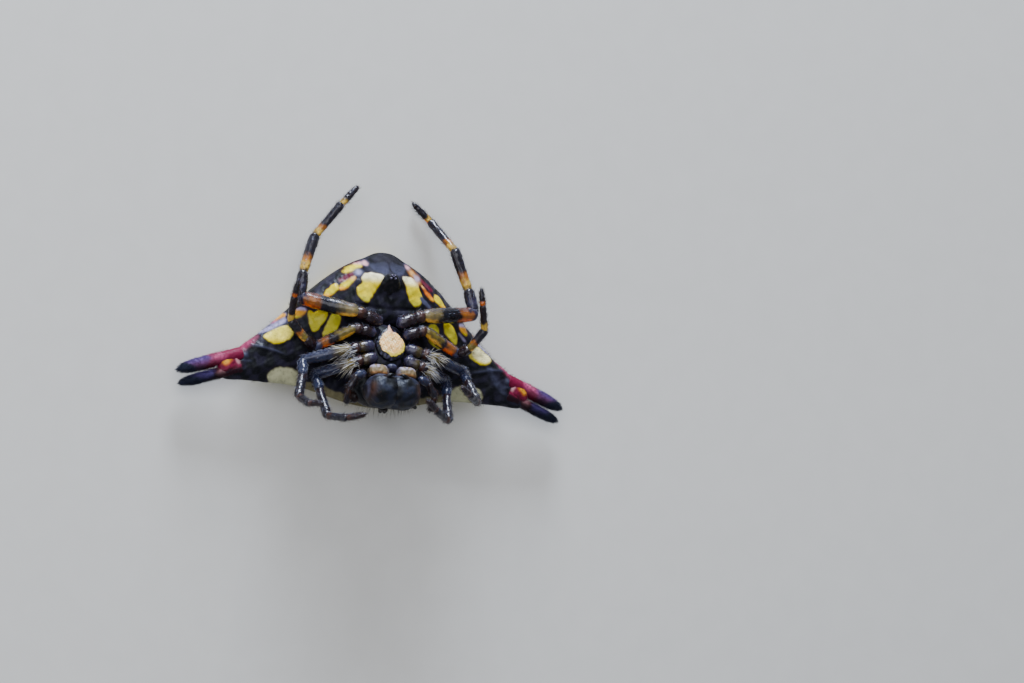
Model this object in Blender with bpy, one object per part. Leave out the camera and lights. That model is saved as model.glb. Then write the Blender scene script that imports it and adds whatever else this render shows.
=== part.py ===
"""Spiny orb weaver, a life-size still model that lies on its back.

The belly faces up, the head points to -Y and the spinnerets to +Y, so the animal's own
left is at -X. The origin is on the floor, under the flat of the abdomen's back.
The abdomen is laid out in the model's own axes. The front body and the legs are laid out
square to the sternum, in the body axes, and tip up by TILT about X where they are placed.
Sizes are in millimetres until a mesh is made, and metres after that.
"""

import math

import bmesh
import bpy
import numpy as np
from mathutils import Matrix

MM = 0.001
GAP = 0.10
EYE_GAP = 0.05

# The sternum's plane rises to the head by TILT, and BODY_PLACE brings its axes to the floor.
TILT = 24.0
BODY_PLACE = (0.0, -1.00, -0.60)

# Abdomen: a broad hard plate with a flat back and a ventral hump that carries the spinnerets.
FORK_X = 6.20
FORK_MID = (-2.10, 1.00)
FORK_HALF = (0.60, 0.30)
FRONT_EDGE_Y = -2.66
FRONT_BOW = 0.60
FRONT_BOW_REACH = 4.00
REAR_EDGE_Y = 2.86
WING_REAR_Y = -1.38
RIM_FRONT_Z = 1.05
RIM_REAR_Z = (0.70, 0.95)
CREST_Z = (1.35, 1.95)
FRONT_TOP_Z = 1.38
HOLLOW_Z = 1.10
CONE_Y = 2.00
CONE_RISE = 0.42
COLLAR_TOP_Z = 2.32
COLLAR_RADII = (0.40, 0.34, 0.27)
NIPPLE_ROWS_Y = (-0.12, 0.13)
NIPPLE_X = 0.12
NIPPLE_RADII = (0.11, 0.09)
BACK_SINK = 0.12
ABDOMEN_STATIONS = 40
ABDOMEN_STEPS = 22

# Where the abdomen eases into its fork, as distances from the midline: plan, top, section, underside.
PLAN_EASE_X = 5.50
TOP_EASE_X = 4.60
SECTION_EASE_X = 4.40
UNDERSIDE_EASE_X = 2.20

# The wall behind the hollow stands at WALL_Y on the midline, and becomes a long slope past WALL_SIDE_X.
WALL_Y = (-0.55, 0.50)
WALL_SIDE_X = (1.30, 2.50)
SLOPE_TOP_Y = 1.00
HOLLOW_LENGTH = 1.20
CONE_REACH = (0.62, 0.85)
REAR_FALL = (0.45, 0.90)

# Lateral spines: two close-set on the fork of each side. The rear pair are only low knobs.
SPINE_TIP_FRONT = (8.10, -3.02, 0.76)
SPINE_TIP_REAR = (8.25, -2.50, 0.76)
SPINE_ROOT_Y = 0.285
SPINE_RADIUS = 0.235
SPINE_TIP_RADIUS = 0.09
KNOB_ROOT = (0.52, 2.30, 1.08)
KNOB_TIP = (0.64, 2.93, 1.24)
KNOB_RADIUS = 0.34

# Front body: the carapace lies under the sternum, and clears the abdomen's front edge.
CARAPACE_MID = (-1.90, 1.96)
CARAPACE_HALF = (1.45, 1.42, 0.60)
CARAPACE_FLAT_Z = 2.53
CARAPACE_REAR_Y = -0.56
CARAPACE_CROWN_Y = -2.30
CARAPACE_FALL = 0.40
STERNUM_Z = (2.63, 2.98, 3.10)
STERNUM_HALF_OUTLINE = ((0.0, -0.16), (0.32, -0.50), (0.50, -0.85),
                        (0.52, -1.22), (0.36, -1.58), (0.0, -1.74))
CHELICERA_MID = (0.61, -3.06, 2.86)
CHELICERA_HALF = (0.56, 0.64, 0.74)
MAXILLA_MID = (0.61, -2.26, 2.98)
MAXILLA_HALF = (0.41, 0.27, 0.30)
LABIUM_MID = (0.0, -2.00, 2.94)
LABIUM_HALF = (0.20, 0.14, 0.24)
MOUTH_FLOOR_Z = 2.63
FANG_PATH = ((0.50, -2.78, 3.45), (0.34, -2.66, 3.60), (0.20, -2.62, 3.62))
FANG_TIP = (0.10, -2.62, 3.60)
FANG_RADII = (0.13, 0.10, 0.06)
PEDICEL_PATH = ((0.0, -0.81, 2.12), (0.0, -0.305, 2.20), (0.0, 0.20, 2.30))
PEDICEL_RADII = (0.26, 0.24, 0.26)
PALP_RADIUS = 0.17
EYE_RADIUS = 0.075
MEDIAN_BUMP = (0.0, -3.18, 1.78)
MEDIAN_BUMP_RADIUS = 0.23
LATERAL_BUMP = (1.22, -2.92, 1.80)
LATERAL_BUMP_RADIUS = 0.24
EYE_PROUD = 0.035
MEDIAN_EYE_AIMS = {"front": (0.42, -1.0, 0.36), "back": (0.42, -1.0, -0.42)}
LATERAL_EYE_AIMS = {"front": (0.8, -1.0, 0.05), "back": (0.8, 0.15, 0.05)}

# Legs: segment lengths from coxa with trochanter to tarsus, and the radius of each segment.
LEG_LENGTHS = {
    1: (0.98, 1.80, 0.80, 1.40, 1.05, 0.72),
    2: (1.05, 2.00, 0.72, 1.20, 1.05, 0.65),
    3: (0.96, 1.78, 0.56, 1.00, 1.10, 0.65),
    4: (1.22, 2.35, 1.00, 1.72, 1.72, 1.00),
}
LEG_BASES = {
    1: (0.56, -1.60, 2.95),
    2: (0.64, -1.10, 2.95),
    3: (0.58, -0.60, 2.98),
    4: (0.30, -0.13, 3.05),
}
LEG_GIRTH = {1: 1.0, 2: 0.98, 3: 0.95, 4: 1.12}
FEMUR_GIRTH = {1: 1.0, 2: 1.0, 3: 1.0, 4: 1.16}
LEG_RADII = (0.20, 0.225, 0.215, 0.205, 0.19, 0.165)
LEG_TIP_RADIUS = 0.10
LEG_SIDES = 10

# Heading and pitch of each segment in degrees. A heading of 0 points straight out to the
# segment's own side, 90 to the rear and -90 to the head; pitch is up from the floor.
LEG_POSE = {
    ("left", 1): ((-16, -7), (-6, -44), (-95, 21), (-95, 16), (-140, 52), (179, 36)),
    ("right", 1): ((-22, 6), (6, -42), (-100, 18), (-97, 17), (176, 42), (165, 40)),
    ("left", 2): ((-14, -1), (-9, -26), (-84, 9), (-73, 14), (-98, 50), (-155, 50)),
    ("right", 2): ((-17, 10), (-4, -26), (-96, 34), (-77, 18), (-173, 50), (172, 42)),
    ("left", 3): ((6, 10), (-21, -34), (15, 30), (41, 15), (79, 54), (89, 51)),
    ("right", 3): ((11, 26), (-21, -20), (4, 57), (52, 40), (116, 46), (104, 25)),
    ("left", 4): ((13, 14), (15, -11), (92, 20), (109, 5), (129, 16), (132, 12)),
    ("right", 4): ((18, 16), (11, -7), (103, 6), (113, 14), (117, -18), (143, 13)),
}
PALP_BASE = (1.18, -2.40, 3.01)
PALP_LENGTHS = (0.40, 0.60, 0.62)
PALP_POSE = {
    "left": ((-24, 6), (-61, -33), (-94, -45)),
    "right": ((-22, -12), (-50, -20), (-96, -50)),
}
SIDES = {"left": -1.0, "right": 1.0}

COLOURS = {
    "black_shell": ((0.012, 0.011, 0.014), 0.32),
    "brown_shell": ((0.045, 0.022, 0.012), 0.35),
    "sternum": ((0.72, 0.38, 0.12), 0.45),
    "spine": ((0.16, 0.02, 0.05), 0.40),
    "leg_pale": ((0.42, 0.22, 0.05), 0.38),
    "leg_dark": ((0.030, 0.016, 0.010), 0.35),
    "eye": ((0.006, 0.005, 0.006), 0.08),
}


def clear_scene():
    """Remove the objects that the file starts with."""
    for obj in list(bpy.data.objects):
        bpy.data.objects.remove(obj, do_unlink=True)


def material(name):
    """Return the named finish, made once."""
    found = bpy.data.materials.get(name)
    if found:
        return found
    colour, roughness = COLOURS[name]
    made = bpy.data.materials.new(name)
    made.use_nodes = True
    shader = made.node_tree.nodes["Principled BSDF"]
    shader.inputs["Base Color"].default_value = (*colour, 1.0)
    shader.inputs["Roughness"].default_value = roughness
    shader.inputs["Metallic"].default_value = 0.0
    made.diffuse_color = (*colour, 1.0)
    return made


def add_object(name, bm, finish, tipped=True):
    """Turn a bmesh in millimetres into a named object in metres, faces out.

    A tipped piece is laid out in the body axes, and is turned and moved to its place here.
    """
    bmesh.ops.recalc_face_normals(bm, faces=bm.faces)
    if tipped:
        turn = Matrix.Rotation(math.radians(-TILT), 3, "X")
        bmesh.ops.rotate(bm, cent=(0.0, 0.0, 0.0), matrix=turn, verts=bm.verts)
        bmesh.ops.translate(bm, vec=BODY_PLACE, verts=bm.verts)
    bmesh.ops.scale(bm, vec=(MM, MM, MM), verts=bm.verts)
    mesh = bpy.data.meshes.new(name)
    bm.to_mesh(mesh)
    bm.free()
    mesh.materials.append(material(finish))
    mesh.shade_smooth()
    obj = bpy.data.objects.new(name, mesh)
    bpy.context.scene.collection.objects.link(obj)
    return obj


def smooth(value):
    """Ease from 0 to 1 as value goes from 0 to 1."""
    t = np.clip(value, 0.0, 1.0)
    return t * t * (3.0 - 2.0 * t)


def rings_to_bmesh(rings, start_pole=None, end_pole=None):
    """Skin equal rings of points, closing each end on a pole or with a flat face."""
    bm = bmesh.new()
    rows = [[bm.verts.new(point) for point in ring] for ring in rings]
    count = len(rows[0])
    for lower, upper in zip(rows, rows[1:]):
        for i in range(count):
            j = (i + 1) % count
            bm.faces.new((lower[i], lower[j], upper[j], upper[i]))
    for row, pole in ((rows[0], start_pole), (rows[-1], end_pole)):
        if pole is None:
            bm.faces.new(row)
            continue
        tip = bm.verts.new(pole)
        for i in range(count):
            bm.faces.new((row[i], row[(i + 1) % count], tip))
    return bm


def inflated(obj, gap):
    """Return a wire helper: the object's shape grown by the gap along its normals."""
    bm = bmesh.new()
    bm.from_mesh(obj.data)
    bm.normal_update()
    shifts = [vert.normal * gap * MM for vert in bm.verts]
    for vert, shift in zip(bm.verts, shifts):
        vert.co += shift
    mesh = bpy.data.meshes.new(obj.name + "_cutter")
    bm.to_mesh(mesh)
    bm.free()
    helper = bpy.data.objects.new(obj.name + "_cutter", mesh)
    helper.hide_render = True
    helper.display_type = "WIRE"
    bpy.context.scene.collection.objects.link(helper)
    return helper


def keep_largest(bm):
    """Keep the closed surface with the most volume, and drop loose scraps."""
    left = set(bm.verts)
    shells = []
    while left:
        stack = [left.pop()]
        shell = set(stack)
        while stack:
            for edge in stack.pop().link_edges:
                for vert in edge.verts:
                    if vert not in shell:
                        shell.add(vert)
                        left.discard(vert)
                        stack.append(vert)
        shells.append(shell)
    if len(shells) > 1:
        best = max(shells, key=lambda shell: shell_span(shell))
        scraps = [vert for shell in shells if shell is not best for vert in shell]
        bmesh.ops.delete(bm, geom=scraps, context="VERTS")


def shell_span(shell):
    """Return the diagonal of a set of vertices' box."""
    points = np.array([vert.co for vert in shell])
    return float(np.linalg.norm(points.max(axis=0) - points.min(axis=0)))


def boolean(obj, helper, operation):
    """Apply one Boolean to the object, and remove the helper."""
    cut = obj.modifiers.new(operation.lower(), "BOOLEAN")
    cut.operation = operation
    cut.object = helper
    cut.solver = "EXACT"
    graph = bpy.context.evaluated_depsgraph_get()
    result = bpy.data.meshes.new_from_object(obj.evaluated_get(graph))
    obj.modifiers.clear()
    bm = bmesh.new()
    bm.from_mesh(result)
    keep_largest(bm)
    bm.to_mesh(result)
    bm.free()
    old = obj.data
    obj.data = result
    result.name = obj.name
    bpy.data.meshes.remove(old)
    bpy.data.objects.remove(helper, do_unlink=True)


def carve(obj, *others, gap=GAP):
    """Cut the object clear of its neighbours by the gap."""
    for other in others:
        boolean(obj, inflated(other, gap), "DIFFERENCE")


def fuse(obj, piece):
    """Join a piece to the object as one closed body."""
    piece.hide_render = True
    piece.display_type = "WIRE"
    boolean(obj, piece, "UNION")


def frame_along(tangent):
    """Return two directions across a path whose direction is the tangent."""
    across = np.cross(tangent, (0.0, 0.0, 1.0))
    if np.linalg.norm(across) < 0.05:
        across = np.cross(tangent, (0.0, 1.0, 0.0))
    across /= np.linalg.norm(across)
    return across, np.cross(across, tangent)


def sweep(points, radii, sides, start_pole=None, end_pole=None):
    """Carry a round section along the points, turned smoothly through each bend."""
    points = np.asarray(points, dtype=float)
    steps = np.diff(points, axis=0)
    steps /= np.linalg.norm(steps, axis=1)[:, None]
    tangents = np.vstack((steps[:1], steps[:-1] + steps[1:], steps[-1:]))
    tangents /= np.linalg.norm(tangents, axis=1)[:, None]
    across, up = frame_along(tangents[0])
    angles = np.arange(sides) * 2.0 * math.pi / sides
    rings = []
    for point, tangent, radius in zip(points, tangents, radii):
        across = across - tangent * across.dot(tangent)
        across /= np.linalg.norm(across)
        up = np.cross(across, tangent)
        ring = point + radius * (np.outer(np.cos(angles), across) + np.outer(np.sin(angles), up))
        rings.append(ring)
    return rings_to_bmesh(rings, start_pole, end_pole)


def superellipsoid(middle, half, power=2.0, rows=8, sides=14, floor=None, roof=None):
    """Make a rounded block, flattened at an optional floor or roof height."""
    middle = np.array(middle)
    half = np.array(half)
    lat = np.linspace(-math.pi / 2, math.pi / 2, rows + 1)[1:-1]
    lon = np.arange(sides) * 2.0 * math.pi / sides

    def point(phi, theta):
        def bend(value):
            return math.copysign(abs(value) ** (2.0 / power), value)

        spot = np.array((bend(math.cos(phi)) * bend(math.cos(theta)),
                         bend(math.cos(phi)) * bend(math.sin(theta)), bend(math.sin(phi))))
        spot = middle + half * spot
        if floor is not None:
            spot[2] = max(spot[2], floor)
        if roof is not None:
            spot[2] = min(spot[2], roof)
        return spot

    rings = [[point(phi, theta) for theta in lon] for phi in lat]
    return rings_to_bmesh(rings, point(-math.pi / 2, 0.0), point(math.pi / 2, 0.0))


def bell(distance):
    """Fall from 1 on the midline to 0 at the fork, as a raised cosine."""
    return 0.5 + 0.5 * np.cos(math.pi * np.minimum(distance / FORK_X, 1.0))


def fork_share(distance, start):
    """Ease from 0 at a distance from the midline to 1 at the fork."""
    return smooth((distance - start) / (FORK_X - start))


def abdomen_edges(distance):
    """Return the front and rear edge of the abdomen's plan at a distance from the midline."""
    share = fork_share(distance, PLAN_EASE_X)
    bow = 0.5 + 0.5 * np.cos(math.pi * np.minimum(distance / FRONT_BOW_REACH, 1.0))
    front = FRONT_EDGE_Y - FRONT_BOW * bow
    front = front + share * (FORK_MID[0] - FORK_HALF[0] - front)
    rear = WING_REAR_Y + (REAR_EDGE_Y - WING_REAR_Y) * bell(distance) ** 0.78
    rear = rear + share * (FORK_MID[0] + FORK_HALF[0] - rear)
    return front, rear


def ventral_height(distance, y):
    """Height of the belly side: a hollow under the front body, a wall behind it, and the cone."""
    crest = CREST_Z[0] + (CREST_Z[1] - CREST_Z[0]) * bell(distance) ** 1.2
    side = smooth((distance - WALL_SIDE_X[0]) / (WALL_SIDE_X[1] - WALL_SIDE_X[0]))
    hollow = (1.0 - side) * smooth((y - FRONT_EDGE_Y) / HOLLOW_LENGTH)
    front = FRONT_TOP_Z + (HOLLOW_Z - FRONT_TOP_Z) * hollow
    start = WALL_Y[0] + side * (FRONT_EDGE_Y - WALL_Y[0])
    end = WALL_Y[1] + side * (SLOPE_TOP_Y - WALL_Y[1])
    climb = 1.0 - (1.0 - np.clip((y - start) / (end - start), 0.0, 1.0)) ** (1.7 - 0.7 * side)
    height = front + (crest - front) * climb
    cone = np.exp(-(distance / CONE_REACH[0]) ** 2) * smooth(1.0 - np.abs(y - CONE_Y) / CONE_REACH[1])
    height = height + CONE_RISE * cone
    height = height - REAR_FALL[0] * smooth((y - CONE_Y) / REAR_FALL[1]) * bell(distance)
    return height + fork_share(distance, TOP_EASE_X) * (FORK_MID[1] + FORK_HALF[1] - height)


def abdomen_ring(x):
    """One closed section of the abdomen across the body, at one distance along the wings."""
    distance = abs(x)
    front, rear = abdomen_edges(distance)
    share = fork_share(distance, SECTION_EASE_X)
    steps = np.arange(ABDOMEN_STEPS + 1) / ABDOMEN_STEPS
    across = 0.5 - 0.5 * np.cos(math.pi * steps)
    y = front + (rear - front) * across
    edge = np.abs(2.0 * across - 1.0)
    above = np.sqrt(np.maximum(1.0 - edge ** (3.4 - 1.4 * share), 0.0))
    below = np.sqrt(np.maximum(1.0 - edge ** (4.0 - 2.0 * share), 0.0))
    rim_rear = RIM_REAR_Z[0] + (RIM_REAR_Z[1] - RIM_REAR_Z[0]) * bell(distance) ** 1.5
    rim = RIM_FRONT_Z + (rim_rear - RIM_FRONT_Z) * across
    rim = rim + share * (FORK_MID[1] - rim)
    low_end = FORK_MID[1] - FORK_HALF[1]
    low = -BACK_SINK + (low_end + BACK_SINK) * fork_share(distance, UNDERSIDE_EASE_X)
    top = rim + (ventral_height(distance, y) - rim) * above
    bottom = np.maximum(rim - (rim - low) * below, 0.0)
    lower = [(x, y[i], bottom[i]) for i in range(ABDOMEN_STEPS + 1)]
    upper = [(x, y[i], top[i]) for i in range(ABDOMEN_STEPS - 1, 0, -1)]
    return lower + upper


def build_abdomen():
    """Loft the abdomen from fork to fork, and raise the two rear knobs on its edge."""
    turn = np.linspace(-1.0, 1.0, ABDOMEN_STATIONS + 1)
    stations = FORK_X * (0.75 * turn + 0.25 * np.sin(turn * math.pi / 2))
    rings = [abdomen_ring(float(x)) for x in stations]
    abdomen = add_object("abdomen", rings_to_bmesh(rings), "black_shell", tipped=False)
    for sign in SIDES.values():
        root = (sign * KNOB_ROOT[0], KNOB_ROOT[1], KNOB_ROOT[2])
        tip = (sign * KNOB_TIP[0], KNOB_TIP[1], KNOB_TIP[2])
        knob = tapered_spine(root, tip, KNOB_RADIUS, KNOB_RADIUS / 3)
        fuse(abdomen, add_object("knob", knob, "black_shell", tipped=False))
    return abdomen


def tapered_spine(root, tip, radius, tip_radius):
    """A spine that keeps most of its girth, then tapers to a rounded point."""
    root = np.array(root)
    tip = np.array(tip)
    shares = (0.0, 0.2, 0.45, 0.7, 0.87, 0.96)
    girths = (1.0, 1.02, 0.97, 0.82, 0.55, 0.30)
    points = [root + (tip - root) * share for share in shares]
    radii = [max(radius * girth, tip_radius * 0.8) for girth in girths]
    return sweep(points, radii, 12, None, tip)


def build_spines():
    """Two lateral spines on each fork, side by side."""
    pair = (("front", SPINE_TIP_FRONT, -SPINE_ROOT_Y), ("rear", SPINE_TIP_REAR, SPINE_ROOT_Y))
    for side, sign in SIDES.items():
        for name, tip, offset in pair:
            root = (sign * (FORK_X + GAP), FORK_MID[0] + offset, FORK_MID[1])
            end = (sign * tip[0], tip[1], tip[2])
            bm = tapered_spine(root, end, SPINE_RADIUS, SPINE_TIP_RADIUS)
            add_object(f"spine_{name}_{side}", bm, "spine", tipped=False)


def build_spinnerets(abdomen):
    """A short collar with its cluster of nipples, on top of the ventral cone."""
    top = COLLAR_TOP_Z
    collar_points = ((0.0, CONE_Y, top - 0.60), (0.0, CONE_Y, top - 0.12), (0.0, CONE_Y, top))
    bm = sweep(collar_points, COLLAR_RADII, 12, None, (0.0, CONE_Y, top + 0.03))
    collar = add_object("spinnerets", bm, "black_shell", tipped=False)
    for row_y in NIPPLE_ROWS_Y:
        for sign in SIDES.values():
            spot = (sign * NIPPLE_X, CONE_Y + row_y)
            points = ((*spot, top - 0.06), (*spot, top + 0.05))
            tip = (spot[0] * 0.7, CONE_Y + row_y * 0.7, top + 0.15)
            nipple = sweep(points, NIPPLE_RADII, 8, None, tip)
            fuse(collar, add_object("nipple", nipple, "black_shell", tipped=False))
    carve(collar, abdomen)


def build_carapace():
    """The shield of the front body, with the three low bumps that carry the eyes."""
    middle = (0.0, CARAPACE_MID[0], CARAPACE_MID[1])
    bm = superellipsoid(middle, CARAPACE_HALF, 3.0, 12, 24, None, CARAPACE_FLAT_Z)
    for vert in bm.verts:
        vert.co.y = min(vert.co.y, CARAPACE_REAR_Y)
        behind = max(0.0, vert.co.y - CARAPACE_CROWN_Y) / (CARAPACE_REAR_Y - CARAPACE_CROWN_Y)
        below = max(0.0, CARAPACE_FLAT_Z - vert.co.z)
        vert.co.z = CARAPACE_FLAT_Z - below * (1.0 - CARAPACE_FALL * behind)
    carapace = add_object("carapace", bm, "black_shell")
    bumps = [(MEDIAN_BUMP, MEDIAN_BUMP_RADIUS)]
    for sign in SIDES.values():
        bumps.append(((sign * LATERAL_BUMP[0], LATERAL_BUMP[1], LATERAL_BUMP[2]), LATERAL_BUMP_RADIUS))
    for spot, radius in bumps:
        bump = superellipsoid(spot, (radius, radius, radius), 2.0, 6, 10)
        fuse(carapace, add_object("bump", bump, "black_shell"))
    return carapace


def build_eyes(carapace):
    """Four eyes on the middle bump and two on each side bump."""
    groups = (("median", MEDIAN_BUMP, MEDIAN_BUMP_RADIUS, MEDIAN_EYE_AIMS),
              ("lateral", LATERAL_BUMP, LATERAL_BUMP_RADIUS, LATERAL_EYE_AIMS))
    for side, sign in SIDES.items():
        mirror = np.array((sign, 1.0, 1.0))
        for group, bump, radius, aims in groups:
            for row, aim in aims.items():
                middle = mirror * (bump + np.array(aim) / np.linalg.norm(aim) * (radius + EYE_PROUD))
                ball = superellipsoid(middle, (EYE_RADIUS,) * 3, 2.0, 5, 8)
                eye = add_object(f"eye_{group}_{row}_{side}", ball, "eye")
                carve(eye, carapace, gap=EYE_GAP)


def build_sternum():
    """The pale shield between the leg bases, a low dome on a straight wall."""
    half = np.array(STERNUM_HALF_OUTLINE)
    mirror = half[-2:0:-1] * (-1.0, 1.0)
    outline = np.vstack((half, mirror))
    middle = np.array((0.0, (half[0, 1] + half[-1, 1]) / 2))
    foot, brim, crown = STERNUM_Z
    levels = ((0.94, foot), (1.0, foot + 0.1), (1.0, brim), (0.72, crown - 0.04))
    rings = []
    for inset, z in levels:
        shrunk = middle + (outline - middle) * inset
        rings.append([(x, y, z) for x, y in shrunk])
    bm = rings_to_bmesh(rings, None, (middle[0], middle[1], crown))
    return add_object("sternum", bm, "sternum")


def build_mouthparts(carapace):
    """Labium, maxillae and chelicerae, each cut clear of what it lies against."""
    labium_bm = superellipsoid(LABIUM_MID, LABIUM_HALF, 2.6, 6, 12, MOUTH_FLOOR_Z)
    labium = add_object("labium", labium_bm, "brown_shell")
    for side, sign in SIDES.items():
        middle = (sign * MAXILLA_MID[0], MAXILLA_MID[1], MAXILLA_MID[2])
        bm = superellipsoid(middle, MAXILLA_HALF, 2.6, 8, 14, MOUTH_FLOOR_Z)
        maxilla = add_object(f"maxilla_{side}", bm, "brown_shell")
        carve(maxilla, labium)
        middle = (sign * CHELICERA_MID[0], CHELICERA_MID[1], CHELICERA_MID[2])
        bm = superellipsoid(middle, CHELICERA_HALF, 2.4, 10, 16)
        chelicera = add_object(f"chelicera_{side}", bm, "black_shell")
        mirror = np.array((sign, 1.0, 1.0))
        fang = sweep(FANG_PATH * mirror, FANG_RADII, 8, None, FANG_TIP * mirror)
        fuse(chelicera, add_object("fang", fang, "black_shell"))
        carve(chelicera, carapace, maxilla)


def build_pedicel(carapace, abdomen):
    """The short waist between the carapace and the front wall of the hump."""
    pedicel = add_object("pedicel", sweep(PEDICEL_PATH, PEDICEL_RADII, 12), "brown_shell")
    carve(pedicel, carapace, abdomen)


def direction(sign, heading, pitch):
    """Unit vector for a heading from the body's own side and a pitch, both in degrees."""
    heading = math.radians(heading)
    pitch = math.radians(pitch)
    return np.array((sign * math.cos(pitch) * math.cos(heading),
                     math.cos(pitch) * math.sin(heading), math.sin(pitch)))


def joint_points(sign, base, lengths, pose):
    """Follow the segments from the base and return every joint's place."""
    point = np.array((sign * base[0], base[1], base[2]))
    points = [point]
    for length, (heading, pitch) in zip(lengths, pose):
        point = point + length * direction(sign, heading, pitch)
        points.append(point)
    return points


def limb_piece(name, joints, radii, start_gap, finish, end_radius=None):
    """A length of limb through its joints: flat where it begins, rounded where it ends."""
    spots = []
    girths = []
    last = len(joints) - 2
    for index in range(last + 1):
        start = np.array(joints[index])
        end = np.array(joints[index + 1])
        along = (end - start) / np.linalg.norm(end - start)
        if index == 0:
            start = start + along * start_gap
        radius = radii[index]
        shares = (0.0, 0.16, 0.45, 0.75) if index == 0 else (0.22, 0.6)
        waist = 0.86 if index == 0 else 0.97
        for share in shares:
            spots.append(start + (end - start) * share)
            girths.append(radius * (waist if share < 0.1 else 1.0))
        if index < last:
            spots.append(end)
            girths.append(0.97 * (radius + radii[index + 1]) / 2)
    ball = radii[-1] * 0.96 if end_radius is None else end_radius
    for turn in (0.0, 0.45, 0.80):
        spots.append(end + along * ball * turn)
        girths.append(ball * math.sqrt(1.0 - turn * turn))
    bm = sweep(spots, girths, LEG_SIDES, None, end + along * ball)
    return add_object(name, bm, finish)


def build_legs():
    """Eight legs of four nodes each: coxa, femur, patella with tibia, metatarsus with tarsus."""
    for (side, number), pose in LEG_POSE.items():
        sign = SIDES[side]
        radii = [radius * LEG_GIRTH[number] for radius in LEG_RADII]
        radii[1] *= FEMUR_GIRTH[number]
        joint_gap = {1: radii[0] + GAP, 2: radii[1] + GAP, 4: radii[3] + GAP}
        joints = joint_points(sign, LEG_BASES[number], LEG_LENGTHS[number], pose)
        name = f"leg{number}_{side}"
        limb_piece(f"{name}_coxa", joints[0:2], radii[0:1], 0.0, "brown_shell")
        limb_piece(f"{name}_femur", joints[1:3], radii[1:2], joint_gap[1], "leg_pale")
        limb_piece(f"{name}_tibia", joints[2:5], radii[2:4], joint_gap[2], "leg_dark")
        limb_piece(f"{name}_tarsus", joints[4:7], radii[4:6], joint_gap[4], "leg_dark", LEG_TIP_RADIUS)


def build_palps():
    """The two short feelers beside the chelicerae."""
    radii = (PALP_RADIUS, PALP_RADIUS * 1.05, PALP_RADIUS * 1.15)
    for side, pose in PALP_POSE.items():
        joints = joint_points(SIDES[side], PALP_BASE, PALP_LENGTHS, pose)
        limb_piece(f"palp_{side}", joints, radii, 0.0, "brown_shell", 0.12)


def main():
    """Build every node of the animal."""
    clear_scene()
    abdomen = build_abdomen()
    build_spines()
    build_spinnerets(abdomen)
    carapace = build_carapace()
    build_eyes(carapace)
    build_sternum()
    build_mouthparts(carapace)
    build_pedicel(carapace, abdomen)
    build_legs()
    build_palps()


main()
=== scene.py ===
"""Dressed model of a spiny orb weaver, life size, lying on its back on a pale floor.

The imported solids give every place. Each surface is worked out in millimetres with numpy, as a function
of two parameters or as a profile carried along a path, and is stored in metres. The abdomen is laid out
in the model's own axes. The front body and the legs are laid out in the body axes, square to the
sternum, and tip up about X where they are placed.
"""

import logging
import math
from collections.abc import Callable
from dataclasses import dataclass, field, replace
from enum import Enum
from functools import partial

import bpy
import numpy as np
from mathutils import Matrix


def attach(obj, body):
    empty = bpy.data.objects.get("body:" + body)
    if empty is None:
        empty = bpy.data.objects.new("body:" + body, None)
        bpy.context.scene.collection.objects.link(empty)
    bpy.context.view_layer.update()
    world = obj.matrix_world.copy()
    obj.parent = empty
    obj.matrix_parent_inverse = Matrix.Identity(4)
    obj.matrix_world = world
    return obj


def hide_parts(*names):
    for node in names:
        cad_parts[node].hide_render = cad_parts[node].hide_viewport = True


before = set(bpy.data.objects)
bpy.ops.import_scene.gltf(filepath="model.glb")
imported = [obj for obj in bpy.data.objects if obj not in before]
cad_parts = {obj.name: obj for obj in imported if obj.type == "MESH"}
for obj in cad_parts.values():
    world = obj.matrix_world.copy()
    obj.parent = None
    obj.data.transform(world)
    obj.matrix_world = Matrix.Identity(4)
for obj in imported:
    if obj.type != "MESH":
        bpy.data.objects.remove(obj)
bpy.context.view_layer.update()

MM = 0.001
TURN = 2.0 * math.pi
BODY = "root"
SIDES = {"left": -1.0, "right": 1.0}

Array = np.ndarray
Vec = tuple[float, float, float]
Plan = tuple[float, float]
Tile = tuple[float, float, float, float]
WHOLE: Tile = (0.0, 0.0, 1.0, 1.0)

log = logging.getLogger("orb_weaver")


def linear(red: int, green: int, blue: int) -> Vec:
    """Turn a display colour of 0 to 255 into linear light of 0 to 1."""
    shares = [value / 255.0 for value in (red, green, blue)]
    return tuple(s / 12.92 if s <= 0.04045 else ((s + 0.055) / 1.055) ** 2.4 for s in shares)


class Pigment(Enum):
    """Colours of the animal's shell, hair and joints."""

    BLACK = linear(12, 12, 16)
    SOOT = linear(25, 22, 27)
    VIOLET_BLACK = linear(40, 37, 56)
    VIOLET_GREY = linear(66, 68, 92)
    LAVENDER = linear(160, 154, 196)
    LEMON = linear(214, 192, 4)
    LEMON_DEEP = linear(186, 178, 48)
    LEMON_PALE = linear(244, 238, 196)
    BUTTER = linear(232, 214, 92)
    CREAM = linear(172, 172, 140)
    RIM_TAN = linear(112, 106, 78)
    AMBER = linear(216, 150, 30)
    ORANGE = linear(190, 96, 20)
    # FLAME and GOLD serve only as painted glow along the legs' undersides.
    FLAME = linear(255, 106, 6)
    GOLD = linear(255, 190, 60)
    RING = linear(204, 166, 62)
    MAROON = linear(60, 12, 18)
    CRIMSON = linear(106, 14, 50)
    ROSE = linear(196, 92, 136)
    BLUSH = linear(226, 168, 178)
    VIOLET = linear(96, 86, 156)
    BLUE_BLACK = linear(36, 41, 62)
    BARK = linear(32, 19, 19)
    UMBER = linear(62, 36, 22)
    RUST = linear(150, 88, 22)
    KHAKI = linear(120, 106, 62)
    OLIVE = linear(108, 94, 34)
    MOSS = linear(62, 52, 26)
    TAN = linear(112, 96, 70)
    PEACH = linear(232, 176, 104)
    STRAW = linear(220, 212, 188)
    ASH = linear(168, 174, 198)
    HAIR_DARK = linear(20, 17, 22)


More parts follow.
